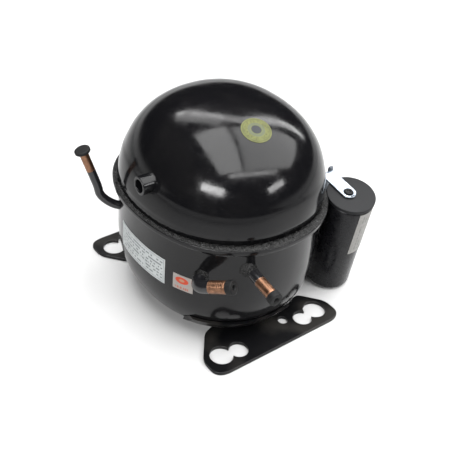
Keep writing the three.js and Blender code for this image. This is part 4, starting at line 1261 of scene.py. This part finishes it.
def side_film(name, node, slot, y_range, z_range, cells, make_print):
    """A label on the -X side of the lower shell."""
    (y0, y1), (z0, z1) = y_range, z_range
    size = (abs(y1 - y0) * 1.02, z1 - z0)

    def surface(u, v, lift):
        return lower_surface(y0 + (y1 - y0) * u, z0 + (z1 - z0) * v, lift)

    film(name, node, slot, make_print(*size), surface, size, cells)


def ring_film():
    """The round label, dropped from a flat disc onto the dome."""
    x, y, radius, bands = (RING_LABEL[key] for key in ("x", "y", "radius", "bands"))
    step = 0.5
    dx = dome_surface(x + step, y) - dome_surface(x - step, y)
    dy = dome_surface(x, y + step) - dome_surface(x, y - step)
    normal = dx.cross(dy).normalized()
    along = dx.normalized()
    across = normal.cross(along)
    centre = dome_surface(x, y)
    low, high = FILM_LIFTS
    reaches = [radius * i / bands for i in range(1, bands + 1)]
    rings, values = [], []
    for lift, reach in [(low, r) for r in reaches] + [(high, r) for r in reversed(reaches)]:
        ring = []
        for angle in around(RING_LABEL["segments"]):
            flat = centre + (along * math.cos(angle) + across * math.sin(angle)) * reach
            ring.append(dome_surface(flat.x, flat.y) + normal * lift)
            values.append((reach * math.cos(angle), reach * math.sin(angle), 0.0))
        rings.append(ring)
    points, faces = loft(rings, cap_start=True, cap_end=True)
    piece = add_piece("ring_film", points, faces, ring_print(radius),
                      replaces=["ring_label"], slot="yellow_label")
    set_point_values(piece, "print", values)


def can_film():
    """The label round the side of the capacitor."""
    start, end = math.radians(CAN_LABEL["start"]), math.radians(CAN_LABEL["end"])
    low, high = CAN_LABEL["low"], CAN_LABEL["high"]

    def surface(u, v, lift):
        angle = start + (end - start) * u
        reach = CAN["radius"] + lift
        return CAN_PLACE @ Vector((reach * math.cos(angle), reach * math.sin(angle), low + (high - low) * v))

    size = (CAN["radius"] * (end - start), high - low)
    film("can_film", "capacitor_label", "pale_label", can_print(*size), surface, size, (48, 20))


# ---- assembly ----

def finish_cad_nodes():
    """Gives the CAD nodes that aren't replaced their materials, by the record's slots."""
    dark, scuffed = (0.02, 0.02, 0.022), (0.05, 0.05, 0.05)
    looks = {
        "shell_paint": black_enamel("inner_enamel", 0.3),
        "zinc": zinc_plate(),
        "steel": worked_metal("bright_steel", (0.56, 0.57, 0.59), (0.4, 0.41, 0.43), 0.3, 0.8, 0.04),
        "cover_plastic": moulded_plastic("relay_plastic", dark, scuffed, 0.45, 0.6),
        "can_plastic": moulded_plastic("protector_plastic", dark, scuffed, 0.4, 0.6),
        "cast_iron": worked_metal("grey_iron", (0.23, 0.23, 0.24), (0.14, 0.14, 0.15), 0.5, 1.4, 0.25, 0.9),
        "lamination": sheet_stack(),
        "enamel": wound_wire(),
        "aluminium": worked_metal("die_cast", (0.7, 0.71, 0.73), (0.55, 0.56, 0.58), 0.36, 1.0, 0.08),
        "nylon": moulded_plastic("natural_nylon", (0.74, 0.71, 0.62), (0.64, 0.6, 0.5), 0.45, 0.8),
        "lead": moulded_plastic("lead_sleeve", (0.35, 0.04, 0.03), (0.22, 0.03, 0.02), 0.55, 0.5),
        "copper": bare_copper(masked=False),
    }
    slots = {part["node"]: part["material_slot"] for part in frame["record"]["subparts"]}
    for node, item in frame["nodes"].items():
        if slots[node] in looks:
            for holder in item.material_slots:
                holder.material = looks[slots[node]]


def build():
    enamel = black_enamel()
    foot_enamel = black_enamel("foot_enamel", 0.32, 2.2)
    weld = painted_weld()
    copper = bare_copper()
    rubber = moulded_rubber()
    zinc = zinc_plate()
    finish_cad_nodes()
    upper_shell(enamel)
    lower_shell(enamel)
    weld_bead(weld)
    foot("front_foot", foot_enamel, 1)
    foot("rear_foot", foot_enamel, -1)

    suction_root, charge_root, discharge_root = (
        along_entry(facts, facts["root"]) for facts in (SUCTION, CHARGE, DISCHARGE))
    suction_path = bent_path([suction_root, SUCTION_CORNER, SUCTION_END], SUCTION["bend"])
    charge_path = spaced([charge_root, CHARGE_END], PATH_SPACING)
    discharge_guides = [discharge_root, along_entry(DISCHARGE, DISCHARGE["straight"]), *RISE_POINTS]
    discharge_path = spaced(spline(discharge_guides), PATH_SPACING)
    tube("suction_pipe", "suction_tube", suction_path, SUCTION, bare_copper(ribs=True))
    tube("process_pipe", "process_tube", charge_path, CHARGE, copper)
    tube("discharge_pipe", "discharge_tube", discharge_path, DISCHARGE, copper)
    stopper("suction_plug", SUCTION_END, SUCTION_AIM, SUCTION["inner"], rubber)
    stopper("process_plug", CHARGE_END, CHARGE["leave"], CHARGE["inner"], rubber)
    mushroom_cap(rubber)
    braze("suction_braze", SUCTION, 4.0, 2.4, weld)
    braze("process_braze", CHARGE, 5.0, 3.4, weld)
    side_stub(enamel)
    spring_steel = worked_metal("spring_steel", (0.5, 0.51, 0.53), (0.34, 0.35, 0.37), 0.32, 0.6, 0.02)
    suspension_springs(spring_steel)
    sleeve = moulded_plastic("sleeve_plastic", (0.3, 0.03, 0.02), (0.2, 0.03, 0.02), 0.5, 0.5)
    pump_lines(bare_copper(masked=False), sleeve)

    capacitor(
        moulded_plastic("can_plastic_look", (0.004, 0.004, 0.005), (0.01, 0.01, 0.011), 0.26, 0.5),
        moulded_plastic("cap_plastic_look", (0.0055, 0.0058, 0.0066), (0.012, 0.0125, 0.014), 0.55, 0.35),
    )
    bracket(zinc)
    bracket_screw(zinc)
    cover = moulded_plastic("cover_plastic_look", (0.018, 0.018, 0.02), (0.04, 0.04, 0.042), 0.42, 0.7)
    terminal_cover(cover)

    side_film("nameplate_film", "nameplate_label", "pale_label", (30, -31), (52, 76.5), (48, 24),
              nameplate_print)
    side_film("square_film", "square_label", "white_label", (-39, -55), (54, 69), (16, 16), square_print)
    ring_film()
    can_film()


place_camera()
lay_floor()
light_world()
light_scene()
build()
